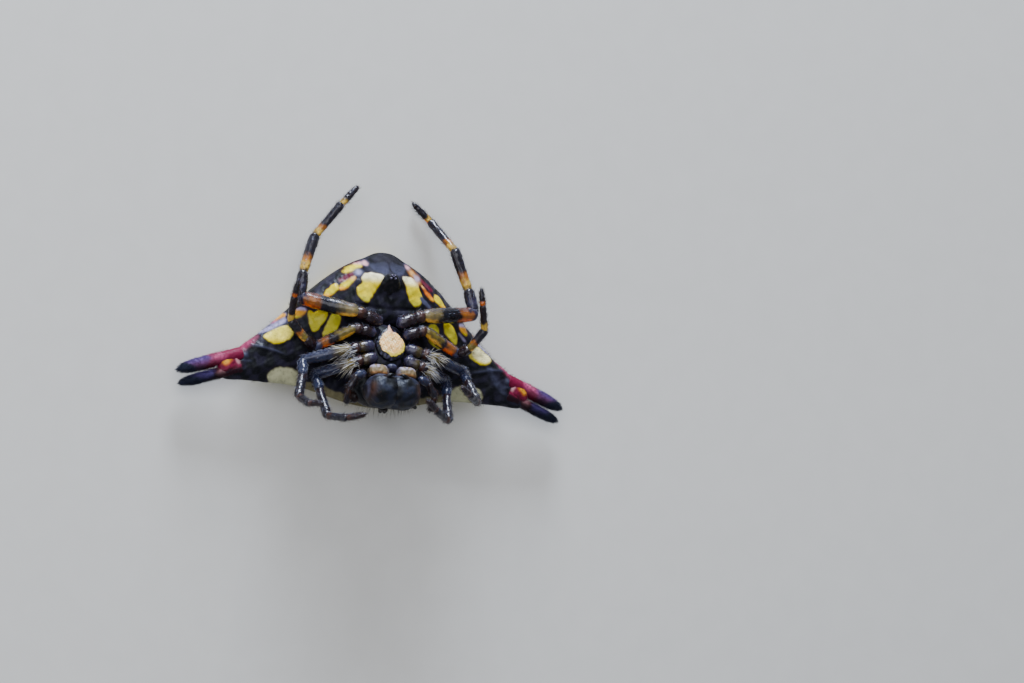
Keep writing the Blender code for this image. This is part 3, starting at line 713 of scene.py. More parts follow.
PATCHES = (
    # painted highlight: the two big lemon patches turn pale towards their rear top edge
    Patch(Pigment.LEMON, ((0.26, 2.05), (0.90, 2.11), (1.16, 1.92), (1.05, 1.66), (1.31, 1.48),
          (1.30, 1.20), (1.08, 0.98), (0.86, 0.90), (0.76, 1.11), (0.60, 1.36), (0.48, 1.70)), only="left",
          top=Pigment.LEMON_PALE, foot=Pigment.LEMON_DEEP),
    Patch(Pigment.LEMON, ((0.46, 2.07), (1.08, 2.09), (1.28, 1.86), (1.28, 1.68), (1.45, 1.40),
          (1.46, 1.14), (1.24, 0.91), (1.02, 1.02), (0.84, 1.40), (0.68, 1.80)), only="right",
          top=Pigment.LEMON_PALE, foot=Pigment.LEMON_DEEP),
    Patch(Pigment.LEMON, ((2.06, 1.30), (1.92, 1.57), (1.70, 1.73), (1.50, 1.89), (1.36, 1.88),
          (1.50, 1.68), (1.64, 1.52), (1.82, 1.36)), only="left", top=Pigment.PEACH, foot=Pigment.AMBER,
          rise=0.012, soft=0.10),
    Patch(Pigment.ORANGE, ((1.42, 1.86), (1.60, 1.70), (1.83, 1.53), (2.06, 1.29), (1.95, 1.23),
          (1.66, 1.48)), only="right", top=Pigment.PEACH, foot=Pigment.AMBER, rise=0.012, soft=0.10),
    Patch(Pigment.LEMON, ((2.67, 0.95), (2.48, 1.24), (2.28, 1.45), (2.13, 1.53), (2.06, 1.40),
          (2.14, 1.22), (2.34, 1.06), (2.50, 0.95)), foot=Pigment.AMBER),
    Patch(Pigment.LEMON_DEEP, ((2.42, 0.20), (2.46, 0.38), (2.68, 0.42), (2.86, 0.37), (2.97, 0.27),
          (3.06, 0.34), (3.18, 0.34), (3.23, 0.20), (3.13, -0.05), (3.08, -0.32), (2.94, -0.48),
          (2.76, -0.38), (2.58, -0.06)), only="left", top=Pigment.LEMON),
    Patch(Pigment.LEMON_DEEP, ((2.52, 0.39), (2.88, 0.44), (3.10, 0.10), (3.27, -0.24), (3.19, -0.42),
          (2.99, -0.32), (2.62, 0.05)), only="right", top=Pigment.LEMON),
    Patch(Pigment.LEMON_DEEP, ((1.90, 0.26), (2.08, 0.31), (2.28, 0.26), (2.42, -0.14), (2.54, -0.50),
          (2.46, -0.68), (2.12, -0.48), (1.96, -0.30), (1.88, 0.04))),
    # painted highlight: this small patch turns lavender towards its rear end
    Patch(Pigment.AMBER, ((3.67, 0.34), (3.51, 0.45), (3.32, 0.44), (3.29, 0.32), (3.47, 0.08),
          (3.70, 0.00)), top=Pigment.LAVENDER, foot=Pigment.LEMON, rise=0.012, soft=0.10),
    Patch(Pigment.BUTTER, ((4.91, -0.82), (4.55, -0.58), (4.30, -0.42), (3.95, -0.32), (3.74, -0.48),
          (3.75, -0.68), (4.00, -0.95), (4.40, -1.11), (4.74, -1.04)), foot=Pigment.LEMON,
          fringe=Pigment.BARK, soft=0.09),
    Patch(Pigment.CREAM, ((4.62, -2.46), (4.57, -2.26), (4.38, -2.10), (4.05, -2.02), (3.70, -2.02),
          (3.38, -2.14), (3.20, -2.38), (3.24, -2.90), (4.30, -2.90)), foot=Pigment.RIM_TAN,
          fringe=Pigment.BARK, soft=0.12, rise=0.01),
    # painted sheen: a paler copy laid over the right oval only
    Patch(Pigment.LEMON_PALE, ((4.86, -0.82), (4.55, -0.62), (4.20, -0.46), (3.86, -0.42), (4.00, -0.80),
          (4.40, -1.00), (4.74, -0.98)), only="right", fringe_share=0.0, soft=0.14, rise=0.0,
          strength=0.75),
    Patch(Pigment.LEMON, ((1.84, 2.00), (1.68, 2.22), (1.33, 2.40), (1.00, 2.56), (1.06, 2.38),
          (1.39, 2.19), (1.58, 2.05)), only="left", top=Pigment.BLUSH, rise=0.0, soft=0.12),
    Patch(Pigment.PEACH, ((1.00, 2.46), (1.46, 2.02), (1.30, 1.84), (1.24, 1.90), (1.10, 2.10),
          (0.92, 2.36)), only="right", fringe=Pigment.RUST, rise=0.0, soft=0.16, strength=0.6),
    Patch(Pigment.AMBER, ((4.48, -0.30), (4.28, -0.13), (4.02, 0.06), (4.02, 0.40), (4.40, 0.10),
          (4.70, -0.24)), foot=Pigment.ROSE, fringe=Pigment.LAVENDER, fringe_share=0.3, rise=0.0),
    # painted highlight: lavender strip above the big oval
    Patch(Pigment.LAVENDER, ((4.98, -0.74), (4.62, -0.54), (4.30, -0.34), (4.02, -0.16), (4.04, -0.02),
          (4.26, -0.20), (4.60, -0.42), (5.00, -0.62)), fringe=Pigment.VIOLET_GREY, rise=0.0, soft=0.12,
          strength=0.8),
    Patch(Pigment.CRIMSON, ((2.06, 1.63), (1.85, 1.84), (1.60, 2.02), (1.40, 2.08), (1.54, 1.90),
          (1.81, 1.68)), fringe_share=0.5, rise=0.0, soft=0.09, strength=0.55),
    # painted highlight: small lavender spot near the rear
    Patch(Pigment.LAVENDER, ((1.12, 2.16), (1.32, 2.18), (1.38, 2.02), (1.20, 1.96)),
          fringe=Pigment.VIOLET_GREY, soft=0.14, rise=0.0, strength=0.55),
    # painted glint: pale pink spot beside the rear knob
    Patch(Pigment.BLUSH, ((0.80, 2.50), (0.90, 2.60), (1.04, 2.50), (0.92, 2.40)),
          fringe=Pigment.VIOLET_GREY, soft=0.12, rise=0.0, strength=0.8),
    Patch(Pigment.VIOLET_GREY, ((0.03, 2.30), (0.20, 2.11), (0.50, 2.13), (0.72, 2.29), (0.76, 2.48),
          (0.40, 2.56), (0.06, 2.62)), fringe_share=0.0, soft=0.08, rise=0.015, strength=0.5, rough=0.85),
    Patch(Pigment.VIOLET_GREY, ((1.38, 1.32), (1.46, 1.34), (1.92, 0.98), (1.86, 0.90), (1.58, 1.06),
          (1.38, 1.24)), only="right", fringe_share=0.0, rise=0.0, soft=0.05),
    Patch(Pigment.LAVENDER, ((3.24, 0.06), (3.34, 0.06), (3.66, -0.20), (3.58, -0.26)), only="right",
          fringe_share=0.0, rise=0.0, soft=0.10, strength=0.5),
    # painted sheen along the right wing's rear slope
    Patch(Pigment.VIOLET_GREY, ((4.60, -1.14), (4.84, -1.16), (5.24, -1.74), (5.72, -2.16), (5.60, -2.26),
          (5.10, -1.90), (4.80, -1.50)), only="right", fringe_share=0.0, rise=0.0, soft=0.20, strength=0.6),
    Patch(Pigment.CRIMSON, ((5.20, -0.70), (5.34, -1.10), (5.58, -1.32), (5.80, -1.56), (5.92, -1.76),
          (5.92, -1.98), (5.78, -2.12), (6.10, -2.14), (6.44, -2.38), (7.20, -2.50), (7.20, -0.70)),
          fringe_share=0.7, rise=0.0, soft=0.16),
    Patch(Pigment.ROSE, ((5.00, -0.78), (5.36, -1.20), (5.80, -1.48), (6.20, -1.64), (6.40, -1.40),
          (5.30, -0.60)), fringe_share=0.0, rise=0.0, soft=0.20, strength=0.3),
    # painted highlight: pink spot beside the pit
    Patch(Pigment.BLUSH, ((5.80, -2.02), (5.92, -1.82), (6.02, -1.84), (5.92, -2.04)), fringe_share=0.0,
          rise=0.0, soft=0.12, strength=0.5),
    Patch(Pigment.AMBER, ((6.18, -1.72), (6.30, -1.80), (6.54, -2.02), (6.44, -2.10), (6.22, -1.94)),
          fringe=Pigment.ORANGE, fringe_share=0.6, rise=0.0, soft=0.14),
)


@dataclass
class Abdomen:
    """The broad winged plate: flat back on the floor, belly hump with the spinning organs, side spines."""

    fork_x: float = 6.20
    end_x: float = 6.66
    fork_mid: Plan = (-2.10, 1.00)
    fork_half: Plan = (0.60, 0.30)
    front_y: float = -2.66
    front_bow: float = 0.60
    bow_reach: float = 4.00
    rear_y: float = 2.86
    wing_rear_y: float = -1.38
    rim_front_z: float = 1.05
    rim_rear_z: Plan = (0.70, 0.95)
    crest_z: Plan = (1.35, 1.95)
    front_top_z: float = 1.38
    hollow_z: float = 1.10
    cone_y: float = 2.00
    cone_rise: float = 0.42
    cone_width: float = 0.62
    rear_fall: float = 0.45
    back_sink: float = 0.12
    stations: int = 468
    belly_steps: int = 150
    back_steps: int = 52
    hairs: int = 3200
    knob: Vec = (2.78, 1.20, 0.72)
    knob_swell: float = 0.15
    pit: Vec = (5.84, -1.76, 0.12)
    bump: Vec = (5.63, -1.67, 0.11)
    ridge_end: Plan = (5.45, -1.24)
    rib_pitch: float = 0.78
    pores: int = 110
    back_bands: tuple[Plan, ...] = ((-1.45, 0.24), (0.55, 0.28), (2.35, 0.16))
    back_dots: Plan = (-2.22, 1.45)
    organ_ends: tuple[Vec, Vec] = ((0.0, 1.50, 1.70), (0.0, 2.02, 2.27))
    organ_radius: float = 0.50
    organ_lobes: tuple[Vec, ...] = ((0.24, 1.84, 0.12), (0.13, 2.00, 0.09), (0.34, 1.66, 0.13))
    organ_tips: tuple[Tile, ...] = ((0.09, 1.95, 2.34, 0.065), (0.06, 2.07, 2.35, 0.055),
                                    (0.02, 2.02, 2.36, 0.028))
    organ_tip_foot: float = 2.08

    def bell(self, distance: Array) -> Array:
        """Raised cosine: 1 on the midline, 0 at the fork."""
        return 0.5 + 0.5 * np.cos(math.pi * np.minimum(distance / self.fork_x, 1.0))

    def fork_share(self, distance: Array, start: float) -> Array:
        """Ease from 0 at a distance from the midline to 1 at the fork."""
        return ease((distance - start) / (self.fork_x - start))

    def edges(self, distance: Array) -> tuple[Array, Array]:
        """Front and rear edge of the plan at a distance from the midline.

        Args:
            distance: Distance from the midline, in millimetres.

        Returns:
            Y of the front edge and Y of the rear edge.
        """
        share = self.fork_share(distance, 5.5)
        bow = 0.5 + 0.5 * np.cos(math.pi * np.minimum(distance / self.bow_reach, 1.0))
        front = self.front_y - self.front_bow * bow
        front = front + share * (self.fork_mid[0] - self.fork_half[0] - front)
        rear = self.wing_rear_y + (self.rear_y - self.wing_rear_y) * self.bell(distance) ** 0.78
        return front, rear + share * (self.fork_mid[0] + self.fork_half[0] - rear)

    def belly(self, distance: Array, y: Array) -> Array:
        """Height of the belly side: hollow under the head, wall, crest, cone, and the fall to the rear.

        Args:
            distance: Distance from the midline, in millimetres.
            y: Place along the body, in millimetres.

        Returns:
            The height at each place, in millimetres.
        """
        crest_low, crest_high = self.crest_z
        crest = crest_low + (crest_high - crest_low) * self.bell(distance) ** 1.2
        side = ease((distance - 1.3) / 1.2)
        hollow = (1.0 - side) * ease((y - self.front_y) / 1.2)
        front = self.front_top_z + (self.hollow_z - self.front_top_z) * hollow
        start = -0.55 + side * (self.front_y + 0.55)
        end = 0.50 + side * 0.50
        climb = 1.0 - (1.0 - np.clip((y - start) / (end - start), 0.0, 1.0)) ** (1.7 - 0.7 * side)
        height = front + (crest - front) * climb
        cone = np.exp(-(distance / self.cone_width) ** 2) * ease(1.0 - np.abs(y - self.cone_y) / 0.85)
        fall = ease((y - self.cone_y) / 0.9) * self.bell(distance)
        height = height + self.cone_rise * cone - self.rear_fall * fall
        return height + self.fork_share(distance, 4.6) * (self.fork_mid[1] + self.fork_half[1] - height)

    def grid(self) -> tuple[Array, Array]:
        """Sections across the body from wing to wing.

        Each section runs along the back from the front edge to the rear, and comes home over the belly.
        The rim height, and the reach of the back and the belly from it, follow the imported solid. Past
        the fork the sections shrink to a rounded skin between the two spines.

        Returns:
            The grid of points, and how far each lies on the belly side, from 0 to 1.
        """
        turn = np.linspace(-1.0, 1.0, self.stations + 1)
        x = self.end_x * (0.75 * turn + 0.25 * np.sin(turn * math.pi / 2))
        distance = np.abs(x)[:, None]
        front, rear = self.edges(distance)
        back_run = np.arange(self.back_steps) / self.back_steps
        belly_run = 1.0 - np.arange(self.belly_steps) / self.belly_steps
        back_run = 0.5 - 0.5 * np.cos(math.pi * back_run)
        belly_run = 0.4 * belly_run + 0.6 * (0.5 - 0.5 * np.cos(math.pi * belly_run))
        across = np.concatenate((back_run, belly_run))[None]
        upper = np.concatenate((np.zeros(self.back_steps), np.ones(self.belly_steps)))[None]
        y = front + (rear - front) * across
        edge = np.abs(2.0 * across - 1.0)
        fork = self.fork_share(distance, 4.4)
        above = np.sqrt(np.maximum(1.0 - edge ** (3.4 - 1.4 * fork), 0.0))
        below = np.sqrt(np.maximum(1.0 - edge ** (4.0 - 2.0 * fork), 0.0))
        rear_low, rear_high = self.rim_rear_z
        rim_rear = rear_low + (rear_high - rear_low) * self.bell(distance) ** 1.5
        rim = self.rim_front_z + (rim_rear - self.rim_front_z) * across
        rim = rim + fork * (self.fork_mid[1] - rim)
        low_end = self.fork_mid[1] - self.fork_half[1]
        low = -self.back_sink + (low_end + self.back_sink) * self.fork_share(distance, 2.2)
        belly = rim + (self.belly(distance, y) - rim) * above
        back = np.maximum(rim - (rim - low) * below, 0.0)
        z = np.where(upper > 0.5, belly, back)
        past = np.clip((distance - self.fork_x) / (self.end_x - self.fork_x), 0.0, 1.0)
        close = np.sqrt(np.clip(1.0 - past ** 2, 0.0, 1.0))
        y = self.fork_mid[0] + (y - self.fork_mid[0]) * close
        z = self.fork_mid[1] + (z - self.fork_mid[1]) * close
        points = np.stack((np.broadcast_to(x[:, None], y.shape), y, z), axis=-1)
        return points, np.broadcast_to(upper, y.shape) * ease(3.0 * np.minimum(above, 1.0))

    def ridge(self, distance: Array) -> Array:
        """Place along Y of the wing's thin ridge: it falls away towards the body as a power."""
        end_x, end_y = self.ridge_end
        return end_y - 0.13 * np.maximum(end_x - distance, 0.0) ** 1.6

    def spot(self, points: Array, middle: Vec) -> Array:
        """Square of the distance from a spot on either wing, over the square of the spot's radius."""
        gap = (np.abs(points[..., 0]) - middle[0]) ** 2 + (points[..., 1] - middle[1]) ** 2
        return gap / middle[2] ** 2

    def relief(self, points: Array, belly: Array) -> Array:
        """Height of the fine forms over the belly: pits, folds, the wing's ridge and grain.

        Args:
            points: Places in millimetres, last axis of three.
            belly: How far each point lies on the belly side, from 0 to 1.

        Returns:
            The height of the forms at each point.
        """
        rng = np.random.default_rng(5)
        distance = np.abs(points[..., 0])
        y = points[..., 1]
        height = 0.012 * ripple(points, 0.75, 21) + 0.004 * ripple(points, 0.22, 22)
        spans = ((-5.4, 5.4), (-2.3, 2.2), (0.06, 0.15))
        hollow = np.zeros(y.shape)
        for x0, y0, radius in np.column_stack([rng.uniform(*span, self.pores) for span in spans]):
            gap = ((points[..., 0] - x0) ** 2 + (y - y0) ** 2) / radius ** 2
            hollow = np.maximum(hollow, 0.24 * radius * np.exp(-gap ** 2))
        hollow = np.maximum(hollow, 0.10 * np.exp(-self.spot(points, self.pit) ** 2))
        height = height - hollow + 0.05 * np.exp(-self.spot(points, self.bump))
        fold = 0.72 + 0.06 * distance ** 2
        height = height - 0.06 * np.exp(-((y - fold) / 0.07) ** 2) * ease((1.5 - distance) / 0.5)
        crest = np.exp(-((y - self.ridge(distance)) / 0.09) ** 2)
        height = height + 0.05 * crest * ease((distance - 3.7) / 0.8) * ease((5.7 - distance) / 0.4)
        rib = np.cos(TURN * (distance - 0.55 * y) / self.rib_pitch)
        height = height + 0.014 * rib * ease((distance - 1.5) / 1.0) * ease((5.2 - distance) / 1.0)
        return height * belly

    def back_colour(self, points: Array) -> Array:
        """Colour of the back: cream and lemon, with black bands across and two rows of dark pits.

        Args:
            points: Places in millimetres, last axis of three.

        Returns:
            Linear colour of each point.
        """
        distance = np.abs(points[..., 0])
        y = points[..., 1]
        tint = mixed(points, Pigment.BUTTER, Pigment.LEMON, ease(0.4 + 0.4 * ripple(points, 1.6, 34)))
        for middle, wide in self.back_bands:
            bow = middle - 0.05 * distance ** 2 * np.sign(middle + 0.5)
            tint = blend(tint, Pigment.BLACK, ease((wide - np.abs(y - bow)) / 0.10 + 0.5))
        for middle in self.back_dots:
            place = np.abs((distance * 1.45) % 1.0 - 0.5) / 1.45
            dot = np.sqrt(place ** 2 + (y - middle + 0.04 * distance ** 2 * (middle > 0)) ** 2)
            tint = blend(tint, Pigment.BARK, ease((0.16 - dot) / 0.05))
        return blend(tint, Pigment.CRIMSON, ease((distance - 5.0) / 0.6))

    def wing(self, points: Array, tint: Array) -> Array:
        """Colour the wing's small forms: a painted blue-grey sheen along the ridge, a painted blue-grey
        light spot on the bump, a blue-grey streak, and black painted shade in the pit.

        Args:
            points: Places in millimetres, last axis of three.
            tint: The colours so far.

        Returns:
            The new colours.
        """
        distance = np.abs(points[..., 0])
        # painted sheen along the wing's ridge
        crest = np.exp(-((points[..., 1] - self.ridge(distance)) / 0.05) ** 2)
        crest = crest * ease((distance - 3.8) / 0.6) * ease((5.6 - distance) / 0.3)
        tint = blend(tint, Pigment.VIOLET_GREY, 0.55 * crest)
        # painted light spot on the bump
        tint = blend(tint, Pigment.VIOLET_GREY, 0.8 * np.exp(-self.spot(points, self.bump)))
        streak = np.exp(-((points[..., 1] + 1.88) / 0.05) ** 2)
        streak = streak * ease((distance - 5.25) / 0.2) * ease((5.8 - distance) / 0.1)
        tint = blend(tint, Pigment.VIOLET_GREY, 0.5 * streak)
        # painted shade in the pit
        return blend(tint, Pigment.BLACK, 0.9 * np.exp(-self.spot(points, self.pit) ** 2))

    def colour(self, points: Array, belly: Array) -> tuple[Array, Array, Array]:
        """Colour, roughness and swelling of each point.

        The belly is black with a faint violet bloom, under patches of lemon, amber and cream. The front
        rim is tan. Some of the patches are painted highlight and painted sheen.

        Args:
            points: Places in millimetres, last axis of three.
            belly: How far each point lies on the belly side, from 0 to 1.

        Returns:
            Linear colour, roughness, and swelling in millimetres.
        """
        distance = np.abs(points[..., 0])
        y = points[..., 1]
        front, _ = self.edges(distance)
        bloom = 0.6 * ease(0.4 + 0.5 * ripple(points, 0.45, 31))
        tint = mixed(points, Pigment.BLACK, Pigment.VIOLET_BLACK, bloom)
        edge = 0.30 - (y - front) + 0.03 * ripple(points, 0.4, 36)
        tint = blend(tint, Pigment.RIM_TAN, 0.9 * ease(0.5 + edge / 0.12) * ease((3.6 - distance) / 0.4))
        rough = 0.44 + 0.05 * ripple(points, 0.35, 32) + 0.38 * ease((y - 1.9) / 0.4)
        swell = np.zeros(y.shape)
        for patch in PATCHES:
            tint, share = patch.lay(points, tint)
            rough = rough + (patch.rough - rough) * share
            swell = np.maximum(swell, patch.rise * share)
        return self.wing(points, tint), np.clip(rough, 0.1, 0.9), swell * belly

    def build(self) -> None:
        """Make the skin with the blunt knob at its rear end, its sparse hairs, and the spinning organs."""
        points, belly = self.grid()
        points = raised(points, self.relief(points, belly))
        knob_y, knob_z, radius = self.knob
        gap = np.linalg.norm(points - (0.0, knob_y, knob_z), axis=-1)
        knob = np.exp(-(gap / radius) ** 4)
        points[..., 1] += self.knob_swell * knob
        tint, rough, swell = self.colour(points, belly)
        tint = blend(tint, Pigment.SOOT, 0.7 * knob)
        back = self.back_colour(points)
        tint = tint + (back - tint) * self.backward(points, belly)[..., None]
        points = raised(points, swell)
        points[..., 2] = np.maximum(points[..., 2], 0.0)
        skin = Patchwork("abdomen_skin")
        skin.add_rings(points, tint, rough)
        skin.build(ABDOMEN_SHELL.material(), "abdomen_shell", "abdomen")
        self.fuzz(points, belly)
        self.organs()

    def backward(self, points: Array, belly: Array) -> Array:
        """How far each point belongs to the back: 0 on the belly, and 1 once the wall turns under."""
        return ease((-grid_normals(points)[..., 2] - 0.45) / 0.3) * (belly < 0.5)

    def fuzz(self, points: Array, belly: Array) -> None:
        """Sparse fine hairs on the wings, fewer on the hump.

        Args:
            points: The skin's rings.
            belly: How far each point lies on the belly side, from 0 to 1.
        """
        coat = Coat("abdomen_hair", 71)
        distance = np.abs(points[..., 0])
        weight = (0.12 + ease((distance - 3.0) / 2.0)) * (0.2 + belly) * (points[..., 2] > 0.25)
        coat.plant(points, self.hairs, WING_HAIR, weight)
        coat.build("abdomen_shell")

    def organs(self) -> None:
        """The spinning organs: a broad dark bell that leans to the rear, with small cones at its top.

        The bell's middle runs from one point to another, and its radius falls as a quarter circle. The
        small cones turn lavender towards their tops as a painted highlight.
        """
        work = Patchwork("spinneret_group")
        share = 1.0 - np.cos(np.linspace(0.0, math.pi / 2, 48))
        foot, top = np.array(self.organ_ends)
        radius = self.organ_radius * (1.0 - share ** 1.5) ** 0.62 + 0.012
        ring = np.column_stack((circle(80) * (1.0, 0.92), np.zeros(80)))
        grid = (foot + (top - foot) * share[:, None])[:, None] + radius[:, None, None] * ring[None]
        lobes = np.zeros(grid.shape[:2])
        for x, y, wide in self.organ_lobes:
            gap = (np.abs(grid[..., 0]) - x) ** 2 + (grid[..., 1] - y) ** 2
            lobes = lobes + 0.4 * wide * np.exp(-gap / wide ** 2)
        grid = raised(grid, lobes + 0.004 * ripple(grid, 0.2, 44))
        work.add_rings(grid, mixed(grid, Pigment.BLACK, Pigment.SOOT, ease(ripple(grid, 0.22, 45))), 0.50)
        rise = np.linspace(0.0, 1.0, 14)
        taper = np.sqrt(np.clip(1.0 - (rise - 0.15) ** 2 / 0.85 ** 2 * (rise > 0.15), 0.0, 1.0))
        for x, y, high, thick in self.organ_tips:
            height = self.organ_tip_foot + (high - self.organ_tip_foot) * rise
            height = np.broadcast_to(height[:, None, None], (len(rise), 20, 1))
            for side in SIDES.values():
                ring = (thick * taper + 0.003)[:, None, None] * circle(20)[None] + (side * x, y)
                grid = np.concatenate((ring, height), axis=-1)
                # painted highlight: each small cone turns lavender towards its top
                tip = np.broadcast_to(0.3 * ease(2.0 * rise - 1.0)[:, None], grid.shape[:2])
                work.add_rings(grid, mixed(grid, Pigment.SOOT, Pigment.LAVENDER, tip), 0.25)
        work.build(ABDOMEN_SHELL.material(), "abdomen_shell", "spinnerets")


@dataclass
class SidePair:
    """The two close-set spines of one side: thick, nearly straight, blunt, under a dense short fuzz.

    Each runs straight from inside the wing's end, through its root at the fork, to its tip.
    """

    side: str
    tips: dict = field(default_factory=lambda: {"front": (8.10, -3.02, 0.76), "rear": (8.25, -2.50, 0.76)})
    roots: dict = field(default_factory=lambda: {
        "front": (6.30, -2.385, 1.00), "rear": (6.30, -1.815, 1.00)})
    stout: dict = field(default_factory=lambda: {"front": 0.80, "rear": 1.02})
    flare: dict = field(default_factory=lambda: {"front": 0.07, "rear": 0.02})
    start_x: float = 5.70
    radius: float = 0.245
    hairs: int = 3400

    def spine(self, label: str) -> Array:
        """One spine: rings along its path, with its radius easing down to a rounded point.

        Args:
            label: Which spine: front or rear.

        Returns:
            The rings in the model's axes.
        """
        tip, fork = np.array(self.tips[label]), np.array(self.roots[label])
        root = fork - (tip - fork) * (fork[0] - self.start_x) / (tip[0] - fork[0])
        share = 0.5 - 0.5 * np.cos(np.linspace(0.0, math.pi, 90))
        axis = unit(tip - root)
        path = root + (tip - root) * share[:, None]
        radius = self.radius - 0.02 * ease((share - 0.25) / 0.3) - 0.02 * ease((share - 0.55) / 0.3)
        point = np.clip(1.0 - (np.maximum(share - 0.72, 0.0) / 0.28) ** 1.8, 0.0, 1.0)
        radius = radius * np.sqrt(point) + 0.004
        radius = radius * self.stout[label] + self.flare[label] * (1.0 - ease((share - 0.10) / 0.40))
        across = unit(np.cross(axis, (0.0, 0.0, 1.0)))
        up = np.cross(across, axis)
        cos, sin = circle(48).T[..., None]
        grid = path[:, None] + radius[:, None, None] * (cos * across + sin * up)[None]
        return raised(grid, 0.004 * ripple(grid, 0.2, 41)) * (SIDES[self.side], 1.0, 1.0)

    def colour(self, label: str, points: Array) -> Array:
        """Crimson at the root and blue-black to the tip. Rose, violet and a pale pink glint along the rear
        edge, which faces the lamp, are painted highlight, and the front spine's black underside is painted
        shade.

        Args:
            label: Which spine: front or rear.
            points: Places in millimetres, last axis of three.

        Returns:
            Linear colour of each point.
        """
        tip, fork = np.array(self.tips[label]), np.array(self.roots[label])
        distance = np.abs(points[..., 0])
        middle = fork[1] + (tip[1] - fork[1]) * (distance - fork[0]) / (tip[0] - fork[0])
        reach = distance + 0.05 * ripple(points, 0.5, 42)
        # upper: the rear side, which faces the lamp; colours weighted by it are painted highlight
        upper = ease(0.5 + 2.2 * (points[..., 1] - middle))
        if label == "rear":
            tint = mixed(points, Pigment.MAROON, Pigment.CRIMSON, ease((7.10 - reach) / 0.6))
            tint = blend(tint, Pigment.ROSE, 0.9 * upper * ease((reach - 6.30) / 0.4))
            tint = blend(tint, Pigment.VIOLET, 0.9 * upper * ease((reach - 6.85) / 0.35))
            return blend(tint, Pigment.BLUE_BLACK, ease((reach - 6.95 - 0.70 * upper) / 0.50))
        tint = mixed(points, Pigment.CRIMSON, Pigment.MAROON, ease((reach - 6.45) / 0.35))
        # painted shade: the front spine's underside goes black
        tint = blend(tint, Pigment.BLACK, 0.9 * (1.0 - ease(2.2 * upper - 1.0)))
        # glint: painted pale pink highlight on the front spine's root
        glint = ease((reach - 6.25) / 0.2) * ease((6.80 - reach) / 0.3)
        tint = blend(tint, Pigment.BLUSH, 0.6 * upper ** 2 * glint)
        tint = blend(tint, Pigment.VIOLET, 0.9 * upper * ease((reach - 6.72) / 0.2))
        return blend(tint, Pigment.BLUE_BLACK, ease((reach - 6.75 - 0.70 * upper) / 0.50))

    def build(self) -> None:
        """Make both spines as one skin, and their fuzz."""
        skin = Patchwork(f"spine_skin_{self.side}")
        coat = Coat(f"spine_hair_{self.side}", 75 + int(SIDES[self.side]))
        for index, label in enumerate(self.tips):
            grid = self.spine(label)
            skin.add_rings(grid, self.colour(label, grid), 0.5)
            coat.plant(grid, self.hairs, SPINE_FUZZ, ease((np.abs(grid[..., 0]) - 6.2) / 1.0),
                       (0.5 * index, 0.0, 0.48, 1.0), partial(self.colour, label))
        nodes = (f"spine_{label}_{self.side}" for label in self.tips)
        skin.build(SPINE_SHELL.material(), "spine_shell", *nodes)
        coat.build("spine_shell")


def bulb(middle: Vec, half: Vec, power: float, rows: int, cols: int, floor: float = -99.0,
         roof: float = 99.0) -> Array:
    """A rounded block in the body axes: a sphere with its sines and cosines raised to 2 / power.

    Args:
        middle: Middle in millimetres.
        half: Half sizes along the three axes.
        power: 2 gives a ball, and more gives a squarer block.
        rows: How many rings.
        cols: Points in each ring.
        floor: Lowest height.
        roof: Highest height.

    Returns:
        Rings from the lowest to the highest, flattened at an optional floor or roof.
    """
    lat = np.linspace(-math.pi / 2, math.pi / 2, rows + 2)[1:-1, None]
    lon = np.linspace(0.0, TURN, cols, endpoint=False)[None]

    def bent(value: Array) -> Array:
        """Raise a sine or cosine to its power and keep its sign."""
        return np.sign(value) * np.abs(value) ** (2.0 / power)

    wide = bent(np.cos(lat))
    high = bent(np.sin(lat)) * np.ones_like(lon)
    grid = np.stack((wide * bent(np.cos(lon)), wide * bent(np.sin(lon)), high), axis=-1)
    grid = np.array(middle) + np.array(half) * grid
    grid[..., 2] = np.clip(grid[..., 2], floor, roof)
    return grid


def ball(middle: Vec, radius: float) -> Array:
    """A small sphere in the body axes."""
    return bulb(middle, (radius,) * 3, 2.0, 24, 32)


def tube(path: Array, radius: Array, sides: int, flat: float = 1.0) -> Array:
    """Carry a round or oval profile along a smooth path.

    Each ring lies across the path's direction. The frame keeps one fixed reference direction, which
    suits the short, gently bent runs used here.

    Args:
        path: Places along the path, N by 3.
        radius: Radius at each place.
        sides: Points in each ring.
        flat: Height of the profile over its width.

    Returns:
        The rings, N by sides by 3.
    """
    tangent = unit(np.gradient(path, axis=0))
    mean = unit(path[-1] - path[0])
    guide = np.eye(3)[np.argmin(np.abs(mean))]
    across = unit(np.cross(tangent, guide))
    up = np.cross(across, tangent)
    cos, sin = circle(sides).T[:, None, :, None]
    ring = cos * across[:, None] + sin * up[:, None] * flat
    return path[:, None] + radius[:, None, None] * ring


